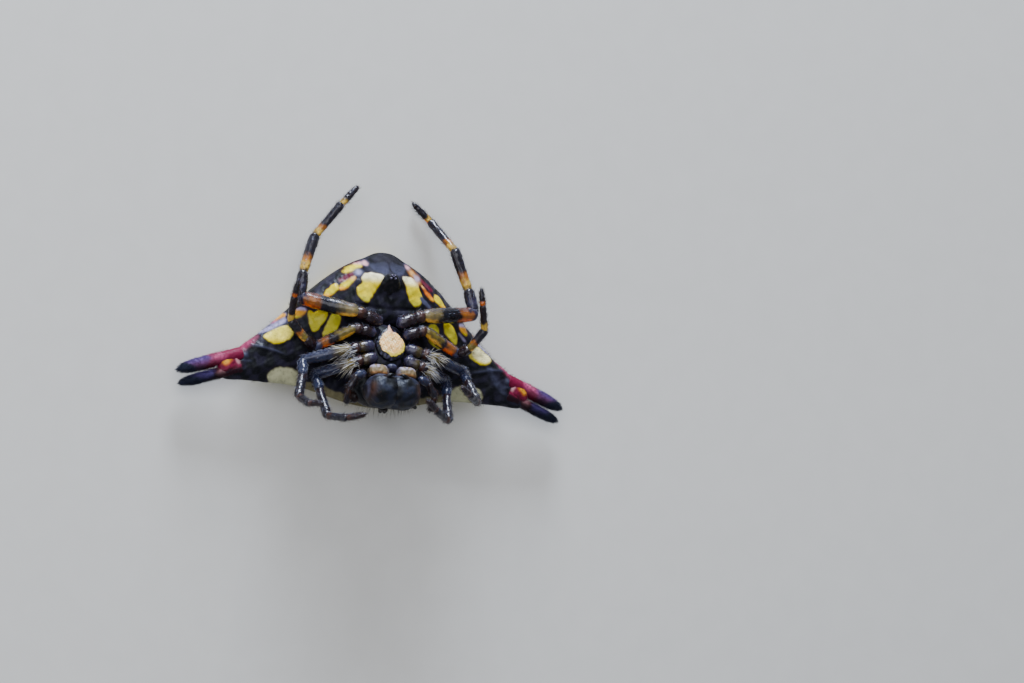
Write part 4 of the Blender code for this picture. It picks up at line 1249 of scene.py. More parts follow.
@dataclass
class FrontBody:
    """The carapace with its eye bumps, the sternum, the mouthparts and the waist."""

    carapace_mid: Vec = (0.0, -1.90, 1.96)
    carapace_half: Vec = (1.45, 1.42, 0.60)
    carapace_power: float = 3.0
    flat_z: float = 2.53
    rear_y: float = -0.56
    crown_y: float = -2.30
    fall: float = 0.40
    median_bump: Vec = (0.0, -3.18, 1.78)
    median_radius: float = 0.23
    lateral_bump: Vec = (1.22, -2.92, 1.80)
    lateral_radius: float = 0.24
    eye_radius: float = 0.080
    jaw_mid: Vec = (0.40, -3.05, 2.84)
    jaw_half: Vec = (0.76, 0.65, 0.74)
    jaw_power: float = 2.35
    lobe_mid: Vec = (0.585, -2.28, 2.98)
    lobe_half: Vec = (0.43, 0.29, 0.31)
    flank_mid: Vec = (0.0, -1.02, 2.56)
    flank_half: Vec = (0.86, 1.05, 0.36)
    labium_mid: Vec = (0.0, -2.05, 2.92)
    labium_half: Vec = (0.22, 0.17, 0.25)
    mouth_floor: float = 2.60
    sternum_z: Vec = (2.63, 2.98, 3.10)
    sternum_outline: tuple[Plan, ...] = (
        (0.00, -0.10), (0.14, -0.28), (0.32, -0.42), (0.46, -0.58), (0.58, -0.82), (0.63, -1.02),
        (0.60, -1.26), (0.50, -1.48), (0.30, -1.66), (0.0, -1.75))
    shield_outline: tuple[Plan, ...] = (
        (0.00, -0.18), (0.06, -0.36), (0.17, -0.49), (0.35, -0.59), (0.46, -0.77), (0.56, -1.02),
        (0.50, -1.18), (0.45, -1.33), (0.22, -1.47), (0.0, -1.61))
    shield_shift: float = 0.08
    head_hairs: int = 170
    jaw_hairs: int = 150
    lobe_hairs: int = 160

    def dress(self, name: str, finish: ShellFinish, slot: str, node: str,
              *skins: tuple[Array, Array | Vec, Array | float]) -> None:
        """Make one piece from closed skins in the body axes, each with its colour and roughness.

        Args:
            name: The piece's name.
            finish: Its finish.
            slot: The record's material slot.
            node: The solid that the piece stands for.
            skins: Rings of each skin, with its colour and roughness.
        """
        work = Patchwork(name)
        for grid, tint, rough in skins:
            work.add_rings(AXES.place(grid), tint, rough)
        work.build(finish.material(), slot, node)

    def carapace(self) -> None:
        """The shield, the soft flank between the leg bases, and the bumps that carry the eyes."""
        grid = bulb(self.carapace_mid, self.carapace_half, self.carapace_power, 80, 120, roof=self.flat_z)
        grid[..., 1] = np.minimum(grid[..., 1], self.rear_y)
        behind = np.clip((grid[..., 1] - self.crown_y) / (self.rear_y - self.crown_y), 0.0, 1.0)
        below = np.maximum(self.flat_z - grid[..., 2], 0.0)
        grid[..., 2] = self.flat_z - below * (1.0 - self.fall * behind)
        groove = 0.05 * np.exp(-((grid[..., 1] + 1.35 - 0.45 * np.abs(grid[..., 0])) / 0.12) ** 2)
        grid = raised(grid, 0.008 * ripple(grid, 0.4, 51) - groove)
        grid[..., 2] = np.minimum(grid[..., 2], self.flat_z)
        dark = mixed(grid, Pigment.BLACK, Pigment.BARK, ease(0.5 * ripple(grid, 0.8, 52)))
        bed = bulb(self.flank_mid, self.flank_half, 2.4, 40, 80)
        soft = mixed(bed, Pigment.BLACK, Pigment.VIOLET_BLACK, ease(ripple(bed, 0.3, 53)))
        bumps = [ball(self.median_bump, self.median_radius)]
        bumps += [ball(mirrored(self.lateral_bump, side), self.lateral_radius) for side in SIDES.values()]
        self.dress("carapace_skin", HEAD_SHELL, "carapace_shell", "carapace", (grid, dark, 0.28),
                   (bed, soft, 0.4), *((bump, Pigment.BARK.value, 0.25) for bump in bumps))

    def eyes(self) -> None:
        """Four eyes on the middle bump and two on each side bump, each a polished lens."""
        for name, side in SIDES.items():
            middle = (self.median_bump, self.median_radius)
            outer = (mirrored(self.lateral_bump, side), self.lateral_radius)
            spots = {"median_front": (*middle, (side * 0.42, -1.0, 0.36)),
                     "median_back": (*middle, (side * 0.42, -1.0, -0.42)),
                     "lateral_front": (*outer, (side * 0.8, -1.0, 0.05)),
                     "lateral_back": (*outer, (side * 0.8, 0.15, 0.05))}
            for label, (place, radius, aim) in spots.items():
                lens = ball(tuple(np.array(place) + unit(np.array(aim)) * (radius + 0.01)), self.eye_radius)
                self.dress(f"lens_{label}_{name}", EYE_SHELL, "eye_lens", f"eye_{label}_{name}",
                           (lens, Pigment.BLACK.value, 0.12))

    def sternum(self) -> None:
        """The pale shield: its outline shrinks by rings to a low dome.

        It is peach, speckled, with a golden front and a scalloped black margin.
        """
        half = np.array(self.sternum_outline)
        outline = np.vstack((half, half[-2:0:-1] * (-1.0, 1.0))) + (0.03, 0.0)
        closed = np.vstack((outline, outline[:1]))
        reach = np.concatenate(((0.0,), np.cumsum(np.linalg.norm(np.diff(closed, axis=0), axis=1))))
        around = np.linspace(0.0, reach[-1], 240, endpoint=False)
        edge = np.stack([np.interp(around, reach, closed[:, axis]) for axis in (0, 1)], axis=-1)
        for _ in range(3):
            edge = 0.5 * edge + 0.25 * (np.roll(edge, 1, axis=0) + np.roll(edge, -1, axis=0))
        middle = np.array((0.0, -1.0))
        low, rim, top = self.sternum_z
        wall = np.linspace(0.0, 1.0, 10)
        dome = np.linspace(0.0, 1.0, 110)
        size = np.concatenate((0.95 + 0.05 * ease(wall), np.maximum(np.cos(dome * math.pi / 2)[1:], 0.01)))
        bulge = rim + (top - rim) * np.sin(dome * math.pi / 2)[1:]
        height = np.concatenate((low + (rim - low) * wall, bulge))[:, None, None]
        plan = middle + (edge - middle)[None] * size[:, None, None]
        grid = np.concatenate((plan, np.broadcast_to(height, (len(size), len(edge), 1))), axis=-1)
        half = np.array(self.shield_outline)
        shield = rounded(np.vstack((half, half[-2:0:-1] * (-1.0, 1.0))), 1)
        shield[:, 0] += self.shield_shift * ease((-0.35 - shield[:, 1]) / 0.5)
        inside = inside_by(grid[..., :2], shield) + 0.010 * ripple(grid, 0.16, 60)
        pale = ease(0.5 + inside / 0.045) * (grid[..., 2] > rim - 0.02)
        fleck = ripple(grid, 0.085, 62)
        cloud = 0.5 * ease(0.4 * fleck + 0.1 + 0.3 * ripple(grid, 0.3, 63))
        tint = mixed(grid, Pigment.PEACH, Pigment.TAN, cloud)
        tint = blend(tint, Pigment.LEMON_PALE, 0.6 * ease(0.1 - 0.8 * fleck - 0.5 * grid[..., 0]))
        tint = blend(tint, Pigment.BLUSH, 0.6 * ease((grid[..., 1] + 0.62) / 0.3))
        gold = ease(0.5 + (-1.26 - grid[..., 1] + 0.04 * fleck + 0.5 * grid[..., 0]) / 0.30)
        tint = blend(tint, Pigment.RING, 0.8 * gold * ease((0.30 - inside) / 0.25))
        tint = blend(tint, Pigment.LEMON_DEEP, 0.7 * gold * ease((0.14 - inside) / 0.12))
        margin = mixed(grid, Pigment.BLACK, Pigment.VIOLET_BLACK, ease(ripple(grid, 0.2, 64)))
        tint = margin + (tint - margin) * pale[..., None]
        grid[..., 2] += 0.006 * ripple(grid, 0.22, 61) * (size < 0.99)[:, None] + 0.012 * pale
        self.dress("sternum_plate", STERNUM_SHELL, "sternum_shell", "sternum",
                   (grid, tint, 0.30 + 0.16 * pale))

    def lobe(self, side: float, rows: int = 48, cols: int = 72) -> Array:
        """One maxilla: a rounded block with a notch across its crown.

        Args:
            side: -1 for left and 1 for right.
            rows: How many rings.
            cols: Points in each ring.

        Returns:
            The rings in the body axes.
        """
        grid = bulb(mirrored(self.lobe_mid, side), self.lobe_half, 2.5, rows, cols, self.mouth_floor)
        inward = ease((0.36 - side * grid[..., 0]) / 0.3)
        grid[..., 1] -= 0.05 * inward
        notch = np.exp(-((side * grid[..., 0] - 0.62) / 0.07) ** 2) * ease((grid[..., 2] - 3.0) / 0.2)
        return raised(grid, 0.006 * ripple(grid, 0.2, 64) - 0.012 * notch)

    def mouth(self) -> None:
        """Labium, maxillae and the stout chelicerae with their folded fangs; the labium and the maxillae
        carry painted highlight and painted shade.
        """
        grid = bulb(self.labium_mid, self.labium_half, 2.4, 30, 48, self.mouth_floor)
        # lit: painted highlight, blue-grey along the labium's top rear edge
        lit = ease((grid[..., 2] - 3.02) / 0.1) * ease(0.5 + (grid[..., 1] + 2.03) / 0.08)
        tint = mixed(grid, Pigment.VIOLET_BLACK, Pigment.VIOLET_GREY, 0.9 * lit)
        self.dress("labium_plate", MOUTH_SHELL, "mouthparts_shell", "labium", (grid, tint, 0.32))
        for name, side in SIDES.items():
            grid = self.lobe(side)
            # lit: tan on the lit top, dark bark below it as painted shade
            lit = ease((grid[..., 2] - 3.02) / 0.14) * ease((grid[..., 1] + 2.52) / 0.12)
            tint = mixed(grid, Pigment.BARK, Pigment.TAN, 0.9 * lit)
            # sheen: painted lavender highlight on the top
            sheen = lit * ease((grid[..., 1] + 2.26) / 0.14) * ease(0.5 + ripple(grid, 0.22, 67))
            tint = blend(tint, Pigment.LAVENDER, 0.5 * sheen)
            tint = blend(tint, Pigment.VIOLET_GREY, 0.7 * ease((0.36 - side * grid[..., 0]) / 0.12))
            tint = blend(tint, Pigment.RUST, 0.5 * lit * ease((-2.34 - grid[..., 1]) / 0.10))
            self.dress(f"maxilla_plate_{name}", MOUTH_SHELL, "mouthparts_shell", f"maxilla_{name}",
                       (grid, tint, 0.42))
            self.jaw(name, side)

    def jaw_base(self, side: float, rows: int, cols: int) -> Array:
        """The swollen base of one chelicera, still smooth."""
        return bulb(mirrored(self.jaw_mid, side), self.jaw_half, self.jaw_power, rows, cols)

    def jaw(self, name: str, side: float) -> None:
        """One chelicera: a swollen base, a brown flank, painted highlight lines along its top and outer
        edges, and a fang folded inwards.

        Args:
            name: The side's name.
            side: -1 for left and 1 for right.
        """
        grid = self.jaw_base(side, 80, 100)
        grid = raised(grid, 0.010 * ripple(grid, 0.45, 65) + 0.003 * ripple(grid, 0.12, 68))
        sheen = 0.5 * ease(0.5 + 0.5 * ripple(grid, 0.5, 66))
        tint = mixed(grid, Pigment.BLACK, Pigment.BLUE_BLACK, sheen)
        flank = np.exp(-(((side * grid[..., 0] - 0.98) / 0.14) ** 2 + ((grid[..., 1] + 3.22) / 0.30) ** 2))
        tint = blend(tint, Pigment.UMBER, 0.8 * flank * ease((grid[..., 2] - 2.4) / 0.3))
        # brow and rim: painted highlight lines, blue-grey along the top edge and the outer edge
        brow = np.exp(-((grid[..., 1] + 2.56) / 0.06) ** 2) * ease((grid[..., 2] - 2.9) / 0.2)
        rim = np.exp(-((side * grid[..., 0] - 1.10) / 0.04) ** 2) * ease((grid[..., 2] - 2.6) / 0.3)
        tint = blend(tint, Pigment.VIOLET_GREY, 0.55 * np.maximum(brow, rim))
        share = np.linspace(0.0, 1.0, 30)[:, None]
        path = np.concatenate((side * (0.52 - 0.42 * share), -2.74 + 0.12 * np.sin(math.pi * share / 2),
                               3.38 + 0.20 * np.sin(math.pi * share * 0.75)), axis=-1)
        fang = tube(path, 0.12 * (1.0 - share[:, 0]) ** 0.7 + 0.008, 20)
        point = np.broadcast_to(ease(share * 1.6), fang.shape[:2])
        self.dress(f"chelicera_shell_{name}", HEAD_SHELL, "carapace_shell", f"chelicera_{name}",
                   (grid, tint, 0.50), (fang, mixed(fang, Pigment.BARK, Pigment.BLACK, point), 0.3))

    def waist(self) -> None:
        """The short waist between the carapace and the belly's front wall."""
        share = np.linspace(0.0, 1.0, 24)[:, None]
        path = np.concatenate((0.0 * share, self.rear_y - 0.25 + 0.80 * share, 2.12 + 0.18 * share), axis=-1)
        grid = tube(path, 0.24 + 0.015 * np.cos(share[:, 0] * 4 * TURN), 32)
        self.dress("waist_skin", MOUTH_SHELL, "mouthparts_shell", "pedicel",
                   (grid, Pigment.BARK.value, 0.4))

    def bristles(self) -> None:
        """Dark bristles along the head's front and round the eyes, and fine ones on the mouthparts."""
        coat = Coat("head_hair", 72)
        shield = AXES.place(bulb(self.carapace_mid, self.carapace_half, self.carapace_power, 40, 60))
        coat.plant(shield, self.head_hairs, HEAD_BRISTLE, ease((-shield[..., 1] - 2.0) / 1.2),
                   (0.0, 0.0, 0.4, 0.4))
        for index, side in enumerate(SIDES.values()):
            jaw = AXES.place(self.jaw_base(side, 30, 40))
            coat.plant(jaw, self.jaw_hairs, JAW_BRISTLE, ease((jaw[..., 2] - 2.2) / 0.6),
                       (0.5, 0.2 * index, 0.2, 0.2))
            lobe = AXES.place(self.lobe(side, 30, 40))
            coat.plant(lobe, self.lobe_hairs, LOBE_BRISTLE, ease((-lobe[..., 1] - 1.60) / 0.2),
                       (0.7, 0.2 * index, 0.2, 0.2))
        coat.build("carapace_shell")

    def build(self) -> None:
        """Make every piece of the front body."""
        self.carapace()
        self.eyes()
        self.sternum()
        self.mouth()
        self.waist()
        self.bristles()


class Part(Enum):
    """The lengths of a leg, from the body outwards."""

    COXA = 0
    TROCHANTER = 1
    FEMUR = 2
    PATELLA = 3
    TIBIA = 4
    METATARSUS = 5
    TARSUS = 6


@dataclass(frozen=True)
class Girth:
    """Thickness of one length of leg, as radii at shares of its length."""

    radius: float
    shares: tuple[float, ...]
    factors: tuple[float, ...]

    def at(self, share: Array) -> Array:
        """Radius along the length, with rounded ends."""
        return self.radius * np.interp(share, self.shares, self.factors)


# Shares of a length that lie off its two ends, for a ring that runs past an end.
BEFORE, PAST = -1.0, 2.0


@dataclass(frozen=True)
class Band:
    """A ring of colour on a length of leg, between two shares of its length.

    It covers the whole length unless told otherwise. Its under pigment is a painted glow along its
    underside, which faces the animal's head, as of back light shining through the thin shell.
    """

    pigment: Pigment
    start: float = BEFORE
    end: float = PAST
    soft: float = 0.06
    under: Pigment | None = None

    def share(self, run: Array) -> Array:
        """Share of 0 to 1 of the ring at each place along the length."""
        return ease((run - self.start) / self.soft + 0.5) * ease((self.end - run) / self.soft + 0.5)


GIRTHS = {
    Part.COXA: Girth(0.230, (0.0, 0.15, 0.5, 0.85, 1.0), (0.80, 0.98, 1.06, 1.0, 0.86)),
    Part.TROCHANTER: Girth(0.215, (0.0, 0.3, 0.7, 1.0), (0.86, 1.04, 1.02, 0.84)),
    Part.FEMUR: Girth(0.235, (0.0, 0.08, 0.3, 0.75, 1.0), (0.74, 0.90, 1.04, 1.0, 0.88)),
    Part.PATELLA: Girth(0.210, (0.0, 0.2, 0.6, 1.0), (0.82, 0.98, 1.05, 0.92)),
    Part.TIBIA: Girth(0.188, (0.0, 0.12, 0.5, 0.85, 1.0), (0.76, 0.92, 0.98, 1.06, 0.96)),
    Part.METATARSUS: Girth(0.155, (0.0, 0.1, 0.5, 0.9, 1.0), (0.86, 0.98, 0.96, 1.0, 0.92)),
    Part.TARSUS: Girth(0.128, (0.0, 0.1, 0.5, 0.9, 1.0), (0.86, 1.0, 0.96, 0.76, 0.6)),
}

# In a Band, the pigment after the softness (GOLD or FLAME) is a painted glow along the ring's underside.
REAR_BANDS = {
    Part.COXA: (Band(Pigment.BARK), Band(Pigment.VIOLET_BLACK, BEFORE, 0.3, 0.3)),
    Part.TROCHANTER: (Band(Pigment.BARK), Band(Pigment.UMBER, 0.45, PAST, 0.4)),
    Part.FEMUR: (Band(Pigment.BLACK), Band(Pigment.KHAKI, BEFORE, 0.26, 0.16, Pigment.GOLD),
                 Band(Pigment.RUST, 0.70, 0.92, 0.16, Pigment.FLAME),
                 Band(Pigment.VIOLET_BLACK, 0.93, PAST, 0.05)),
    Part.PATELLA: (Band(Pigment.SOOT), Band(Pigment.VIOLET_BLACK, 0.25, 0.65, 0.3)),
    Part.TIBIA: (Band(Pigment.SOOT), Band(Pigment.RING, 0.06, 0.34, 0.16, Pigment.GOLD),
                 Band(Pigment.RUST, 0.28, 0.42, 0.14)),
    Part.METATARSUS: (Band(Pigment.SOOT), Band(Pigment.RING, 0.02, 0.25, 0.14, Pigment.GOLD),
                      Band(Pigment.RUST, 0.20, 0.32, 0.12)),
    Part.TARSUS: (Band(Pigment.SOOT), Band(Pigment.RING, BEFORE, 0.24, 0.2, Pigment.FLAME)),
}
THIRD_BANDS = {
    Part.COXA: (Band(Pigment.BARK), Band(Pigment.VIOLET_BLACK, BEFORE, 0.4, 0.4)),
    Part.TROCHANTER: (Band(Pigment.BARK), Band(Pigment.UMBER, 0.5, PAST, 0.4)),
    Part.FEMUR: (Band(Pigment.SOOT), Band(Pigment.OLIVE, BEFORE, 0.42, 0.16, Pigment.GOLD),
                 Band(Pigment.RUST, 0.62, 0.84, 0.14, Pigment.FLAME),
                 Band(Pigment.VIOLET_GREY, 0.90, PAST, 0.12)),
    Part.PATELLA: (Band(Pigment.BARK),),
    Part.TIBIA: (Band(Pigment.SOOT), Band(Pigment.OLIVE, 0.0, 0.34, 0.14, Pigment.GOLD),
                 Band(Pigment.RUST, 0.28, 0.42, 0.12)),
    Part.METATARSUS: (Band(Pigment.BARK), Band(Pigment.RING, 0.06, 0.30, 0.14, Pigment.GOLD)),
    Part.TARSUS: (Band(Pigment.SOOT), Band(Pigment.ORANGE, BEFORE, 0.26, 0.16, Pigment.FLAME)),
}
FORE_BANDS = {
    Part.COXA: (Band(Pigment.VIOLET_BLACK), Band(Pigment.MOSS, 0.66, PAST, 0.4)),
    Part.TROCHANTER: (Band(Pigment.BARK), Band(Pigment.UMBER, 0.3, 0.7, 0.4)),
    Part.FEMUR: (Band(Pigment.BLUE_BLACK), Band(Pigment.OLIVE, BEFORE, 0.26, 0.4)),
    Part.PATELLA: (Band(Pigment.BLUE_BLACK),),
    Part.TIBIA: (Band(Pigment.SOOT), Band(Pigment.BARK, 0.02, 0.20, 0.12)),
    Part.METATARSUS: (Band(Pigment.SOOT), Band(Pigment.UMBER, 0.04, 0.30, 0.16)),
    Part.TARSUS: (Band(Pigment.BARK), Band(Pigment.UMBER, BEFORE, 0.3, 0.16)),
}


@dataclass(frozen=True)
class Stance:
    """Base, lengths, angles and colours of one leg, in the body axes."""

    side: str
    number: int
    base: Vec
    lengths: tuple[float, ...]
    pose: tuple[Plan, ...]
    girth: float
    femur_girth: float
    bands: dict
    trochanter: float = 0.66

    def joints(self) -> Array:
        """Places of the joints: each length goes off at its heading from its own side and its pitch up.

        Returns:
            Places in the body axes, from the body to the tip.
        """
        sign = SIDES[self.side]
        turn, pitch = np.radians(np.array(self.pose)).T
        level = np.cos(pitch)
        heading = np.stack((sign * level * np.cos(turn), level * np.sin(turn), np.sin(pitch)), axis=-1)
        start = np.array(self.base) * (sign, 1.0, 1.0)
        steps = heading * np.array(self.lengths)[:, None]
        places = np.vstack((start, start + np.cumsum(steps, axis=0)))
        split = places[0] + (places[1] - places[0]) * self.trochanter
        return np.vstack((places[:1], split, places[1:]))


LENGTHS = {
    1: (0.98, 1.80, 0.80, 1.40, 1.05, 0.72),
    2: (1.05, 2.00, 0.72, 1.20, 1.05, 0.65),
    3: (0.96, 1.78, 0.56, 1.00, 1.10, 0.65),
    4: (1.22, 2.35, 1.00, 1.72, 1.72, 1.00),
}
BASES = {1: (0.56, -1.60, 2.95), 2: (0.64, -1.10, 2.95), 3: (0.58, -0.60, 2.98), 4: (0.30, -0.13, 3.05)}
GIRTH = {1: 1.0, 2: 0.98, 3: 0.95, 4: 1.12}
FEMUR_GIRTH = {1: 1.0, 2: 1.0, 3: 1.0, 4: 1.16}
BANDS = {1: FORE_BANDS, 2: FORE_BANDS, 3: THIRD_BANDS, 4: REAR_BANDS}
POSE = {
    ("left", 1): ((-16, -7), (-6, -44), (-95, 21), (-95, 16), (-140, 52), (179, 36)),
    ("right", 1): ((-22, 6), (6, -42), (-100, 18), (-97, 17), (176, 42), (165, 40)),
    ("left", 2): ((-14, -1), (-9, -26), (-84, 9), (-73, 14), (-98, 50), (-155, 50)),
    ("right", 2): ((-17, 10), (-4, -26), (-96, 34), (-77, 18), (-173, 50), (172, 42)),
    ("left", 3): ((6, 10), (-21, -34), (15, 30), (41, 15), (79, 54), (89, 51)),
    ("right", 3): ((11, 26), (-21, -20), (4, 57), (52, 40), (116, 46), (104, 25)),
    ("left", 4): ((13, 14), (15, -11), (92, 20), (109, 5), (129, 16), (132, 12)),
    ("right", 4): ((18, 16), (11, -7), (103, 6), (113, 14), (117, -18), (143, 13)),
}


@dataclass
class Leg:
    """One leg: seven shells that overlap at their joints, ringed with colour, under its hair.

    A shell's round end, its cap, is a share of its radius long, and the shell reaches past its joints
    by shares of that cap. The rows of seven numbers go from the coxa to the tarsus: how far a length
    sags at its middle, as twice the share of its length, how rough it is, and how many hairs of each
    kind it bears.
    """

    stance: Stance
    rows: int = 44
    sides: int = 32
    cap: float = 0.80
    cap_before: float = 0.5
    cap_after: float = 0.6
    oval: float = 0.95
    sags: tuple[float, ...] = (0.0, 0.0, 0.05, 0.0, 0.025, 0.03, 0.0)
    roughs: tuple[float, ...] = (0.26, 0.32, 0.26, 0.26, 0.32, 0.32, 0.32)
    bristles: tuple[int, ...] = (60, 60, 260, 120, 200, 200, 200)
    fuzz: tuple[int, ...] = (40, 50, 70, 20, 15, 15, 15)
    fore_fuzz: tuple[int, ...] = (12, 30, 220, 110, 70, 70, 70)
    fore_fans: tuple[int, ...] = (0, 16, 34, 0, 0, 0, 0)

    def shell(self, part: Part, start: Array, end: Array) -> tuple[Array, Array]:
        """One length: a tapered tube from just before one joint to just past the next, round at both ends.

        Args:
            part: Which length of the leg.
            start: Place of the length's inner joint, in the body axes.
            end: Place of its outer joint, in the body axes.

        Returns:
            The rings in the model's axes, and the share of the length at each ring.
        """
        length = float(np.linalg.norm(end - start))
        girth = GIRTHS[part]
        scale = self.stance.girth * (self.stance.femur_girth if part is Part.FEMUR else 1.0)
        cap = self.cap * girth.radius * scale
        ahead = 0.0 if part is Part.COXA else self.cap_before * cap
        whole = length + ahead + self.cap_after * cap
        share = 0.5 - 0.5 * np.cos(np.linspace(0.0, math.pi, self.rows))
        run = (-ahead + share * whole) / length
        radius = girth.at(np.clip(run, 0.0, 1.0)) * scale
        ends = np.minimum(share, 1.0 - share) * whole / cap
        radius = radius * np.sqrt(np.clip(1.0 - (1.0 - np.minimum(ends, 1.0)) ** 2, 0.0, 1.0)) + 0.002
        path = start + (end - start) * run[:, None]
        path[:, 2] -= self.sags[part.value] * length / 2.0 * np.sin(math.pi * np.clip(run, 0.0, 1.0))
        grid = AXES.place(tube(path, radius, self.sides, self.oval))
        relief = 0.006 * ripple(grid, 0.22, 80 + part.value) + 0.002 * ripple(grid, 0.08, 90 + part.value)
        return raised(grid, relief), run

    def colour(self, part: Part, grid: Array, run: Array) -> Array:
        """Rings of pigment along the length, with edges that waver, and painted back-light on banded rings.

        Args:
            part: Which length of the leg.
            grid: Rings of points in millimetres.
            run: Share of the length at each ring.

        Returns:
            Linear colour of each point.
        """
        place = run[:, None] + 0.030 * ripple(grid, 0.3, 95)
        facing = grid_normals(grid)[..., 1]
        # painted back-light: under gives a painted glow along the underside, and over darkens the side that
        # faces the lamp
        under = ease((-facing - 0.40) / 0.42)
        over = ease((facing - 0.15) / 0.6)
        tint = paint(grid, Pigment.BARK)
        for band in self.stance.bands[part]:
            share = band.share(place)
            tint = blend(tint, band.pigment, share)
            if band.under:
                tint = blend(tint, Pigment.VIOLET_BLACK, 0.7 * share * over)
                tint = blend(tint, band.under, share * under)
        return blend(tint, Pigment.VIOLET_GREY, 0.10 * ease(ripple(grid, 0.18, 96)))

    def hair(self, coat: Coat, part: Part, grid: Array, run: Array, tile: Tile) -> None:
        """Fine bristles on every length. The fore legs add grey fuzz, and straw fans near the body.

        Args:
            coat: The leg's coat.
            part: Which length of the leg.
            grid: Rings of points in millimetres.
            run: Share of the length at each ring.
            tile: The length's patch on the hair map.
        """
        fore = self.stance.number <= 2
        normals = grid_normals(grid)
        coat.plant(grid, self.bristles[part.value], LEG_BRISTLE, None, tile)
        pale = self.fore_fuzz if fore else self.fuzz
        coat.plant(grid, pale[part.value], LEG_FUZZ, ease(0.2 + 1.0 * normals[..., 1]), tile)
        if fore and self.fore_fans[part.value]:
            near = 1.0 - ease((run - 0.12) / 0.25) if part is Part.FEMUR else ease((run - 0.3) / 0.5)
            weight = near[:, None] * ease(0.3 + 0.9 * normals[..., 2])
            coat.plant(grid, self.fore_fans[part.value], LEG_FAN, weight, tile)

    def claws(self, skin: Patchwork, start: Array, end: Array) -> None:
        """Two small hooked claws at the tip of the tarsus, each a tapered arc.

        Args:
            skin: The surfaces of the outer lengths.
            start: Place of the length's inner joint, in the body axes.
            end: Place of its outer joint, in the body axes.
        """
        ahead = unit(end - start)
        side = unit(np.cross(ahead, (0.0, 0.0, 1.0)))
        down = np.cross(side, ahead)
        turn = np.linspace(0.0, 0.5 * math.pi, 10)[:, None]
        for sign in SIDES.values():
            path = end + ahead * (0.01 + 0.07 * np.sin(turn)) + down * 0.05 * (1.0 - np.cos(turn))
            path = path + side * sign * (0.02 + 0.02 * np.sin(turn))
            hook = tube(path, 0.014 * np.cos(turn[:, 0] * 0.9), 8)
            skin.add_rings(AXES.place(hook), Pigment.BARK.value, 0.25)

    def build(self, index: int) -> None:
        """Make the leg's skins, one for each material slot, and its hair.

        Args:
            index: The leg's place in the row of legs, for its random stream.
        """
        name = f"leg{self.stance.number}_{self.stance.side}"
        coat = Coat(f"{name}_hair", 100 + index)
        joints = self.stance.joints()
        groups = (("base", "leg_base_shell", (Part.COXA, Part.TROCHANTER), ("coxa",)),
                  ("thigh", "leg_banded_shell", (Part.FEMUR,), ("femur",)),
                  ("shank", "leg_dark_shell", (Part.PATELLA, Part.TIBIA, Part.METATARSUS, Part.TARSUS),
                   ("tibia", "tarsus")))
        for label, slot, parts, nodes in groups:
            skin = Patchwork(f"{name}_{label}_skin")
            for part in parts:
                grid, run = self.shell(part, joints[part.value], joints[part.value + 1])
                skin.add_rings(grid, self.colour(part, grid, run), self.roughs[part.value])
                self.hair(coat, part, grid, run, (0.14 * part.value, 0.0, 0.13, 0.98))
            if Part.TARSUS in parts:
                self.claws(skin, joints[-2], joints[-1])
            skin.build(LEG_SHELL.material(), slot, *(f"{name}_{node}" for node in nodes))
        coat.build("leg_dark_shell")


@dataclass
class Palps:
    """The two feelers beside the chelicerae: three short lengths each, bristly."""

    base: Vec = (1.18, -2.40, 3.01)
    lengths: tuple[float, ...] = (0.40, 0.60, 0.62)
    girth: float = 0.78
    poses: dict = field(default_factory=lambda: {
        "left": ((-24, 6), (-61, -33), (-94, -45)), "right": ((-22, -12), (-50, -20), (-96, -50))})

    def build(self) -> None:
        """Make both feelers and their bristles."""
        for index, (side, pose) in enumerate(self.poses.items()):
            skin = Patchwork(f"palp_skin_{side}")
            coat = Coat(f"palp_hair_{side}", 130 + index)
            stance = Stance(side, 5, self.base, self.lengths, pose, self.girth, 1.0, FORE_BANDS)
            joints = np.delete(stance.joints(), 1, axis=0)
            leg = Leg(stance, rows=30, sides=24)
            for step, part in enumerate((Part.PATELLA, Part.TIBIA, Part.METATARSUS)):
                grid, run = leg.shell(part, joints[step], joints[step + 1])
                skin.add_rings(grid, leg.colour(part, grid, run), 0.3)
                leg.hair(coat, part, grid, run, (0.3 * step, 0.0, 0.28, 0.98))
            skin.build(LEG_SHELL.material(), "mouthparts_shell", f"palp_{side}")
            coat.build("mouthparts_shell")


def stand(thing: bpy.types.Object, axes: tuple[Array, Array, Array], place: Array) -> None:
    """Put a camera or a lamp into the scene.

    Args:
        thing: The camera or lamp.
        axes: Where its own right, its own up and its own back point to.
        place: Its place in millimetres.
    """
    turn = np.eye(4)
    turn[:3, :3] = np.stack(axes, axis=-1)
    turn[:3, 3] = place * MM
    thing.matrix_world = Matrix(turn.tolist())
    bpy.context.scene.collection.objects.link(thing)


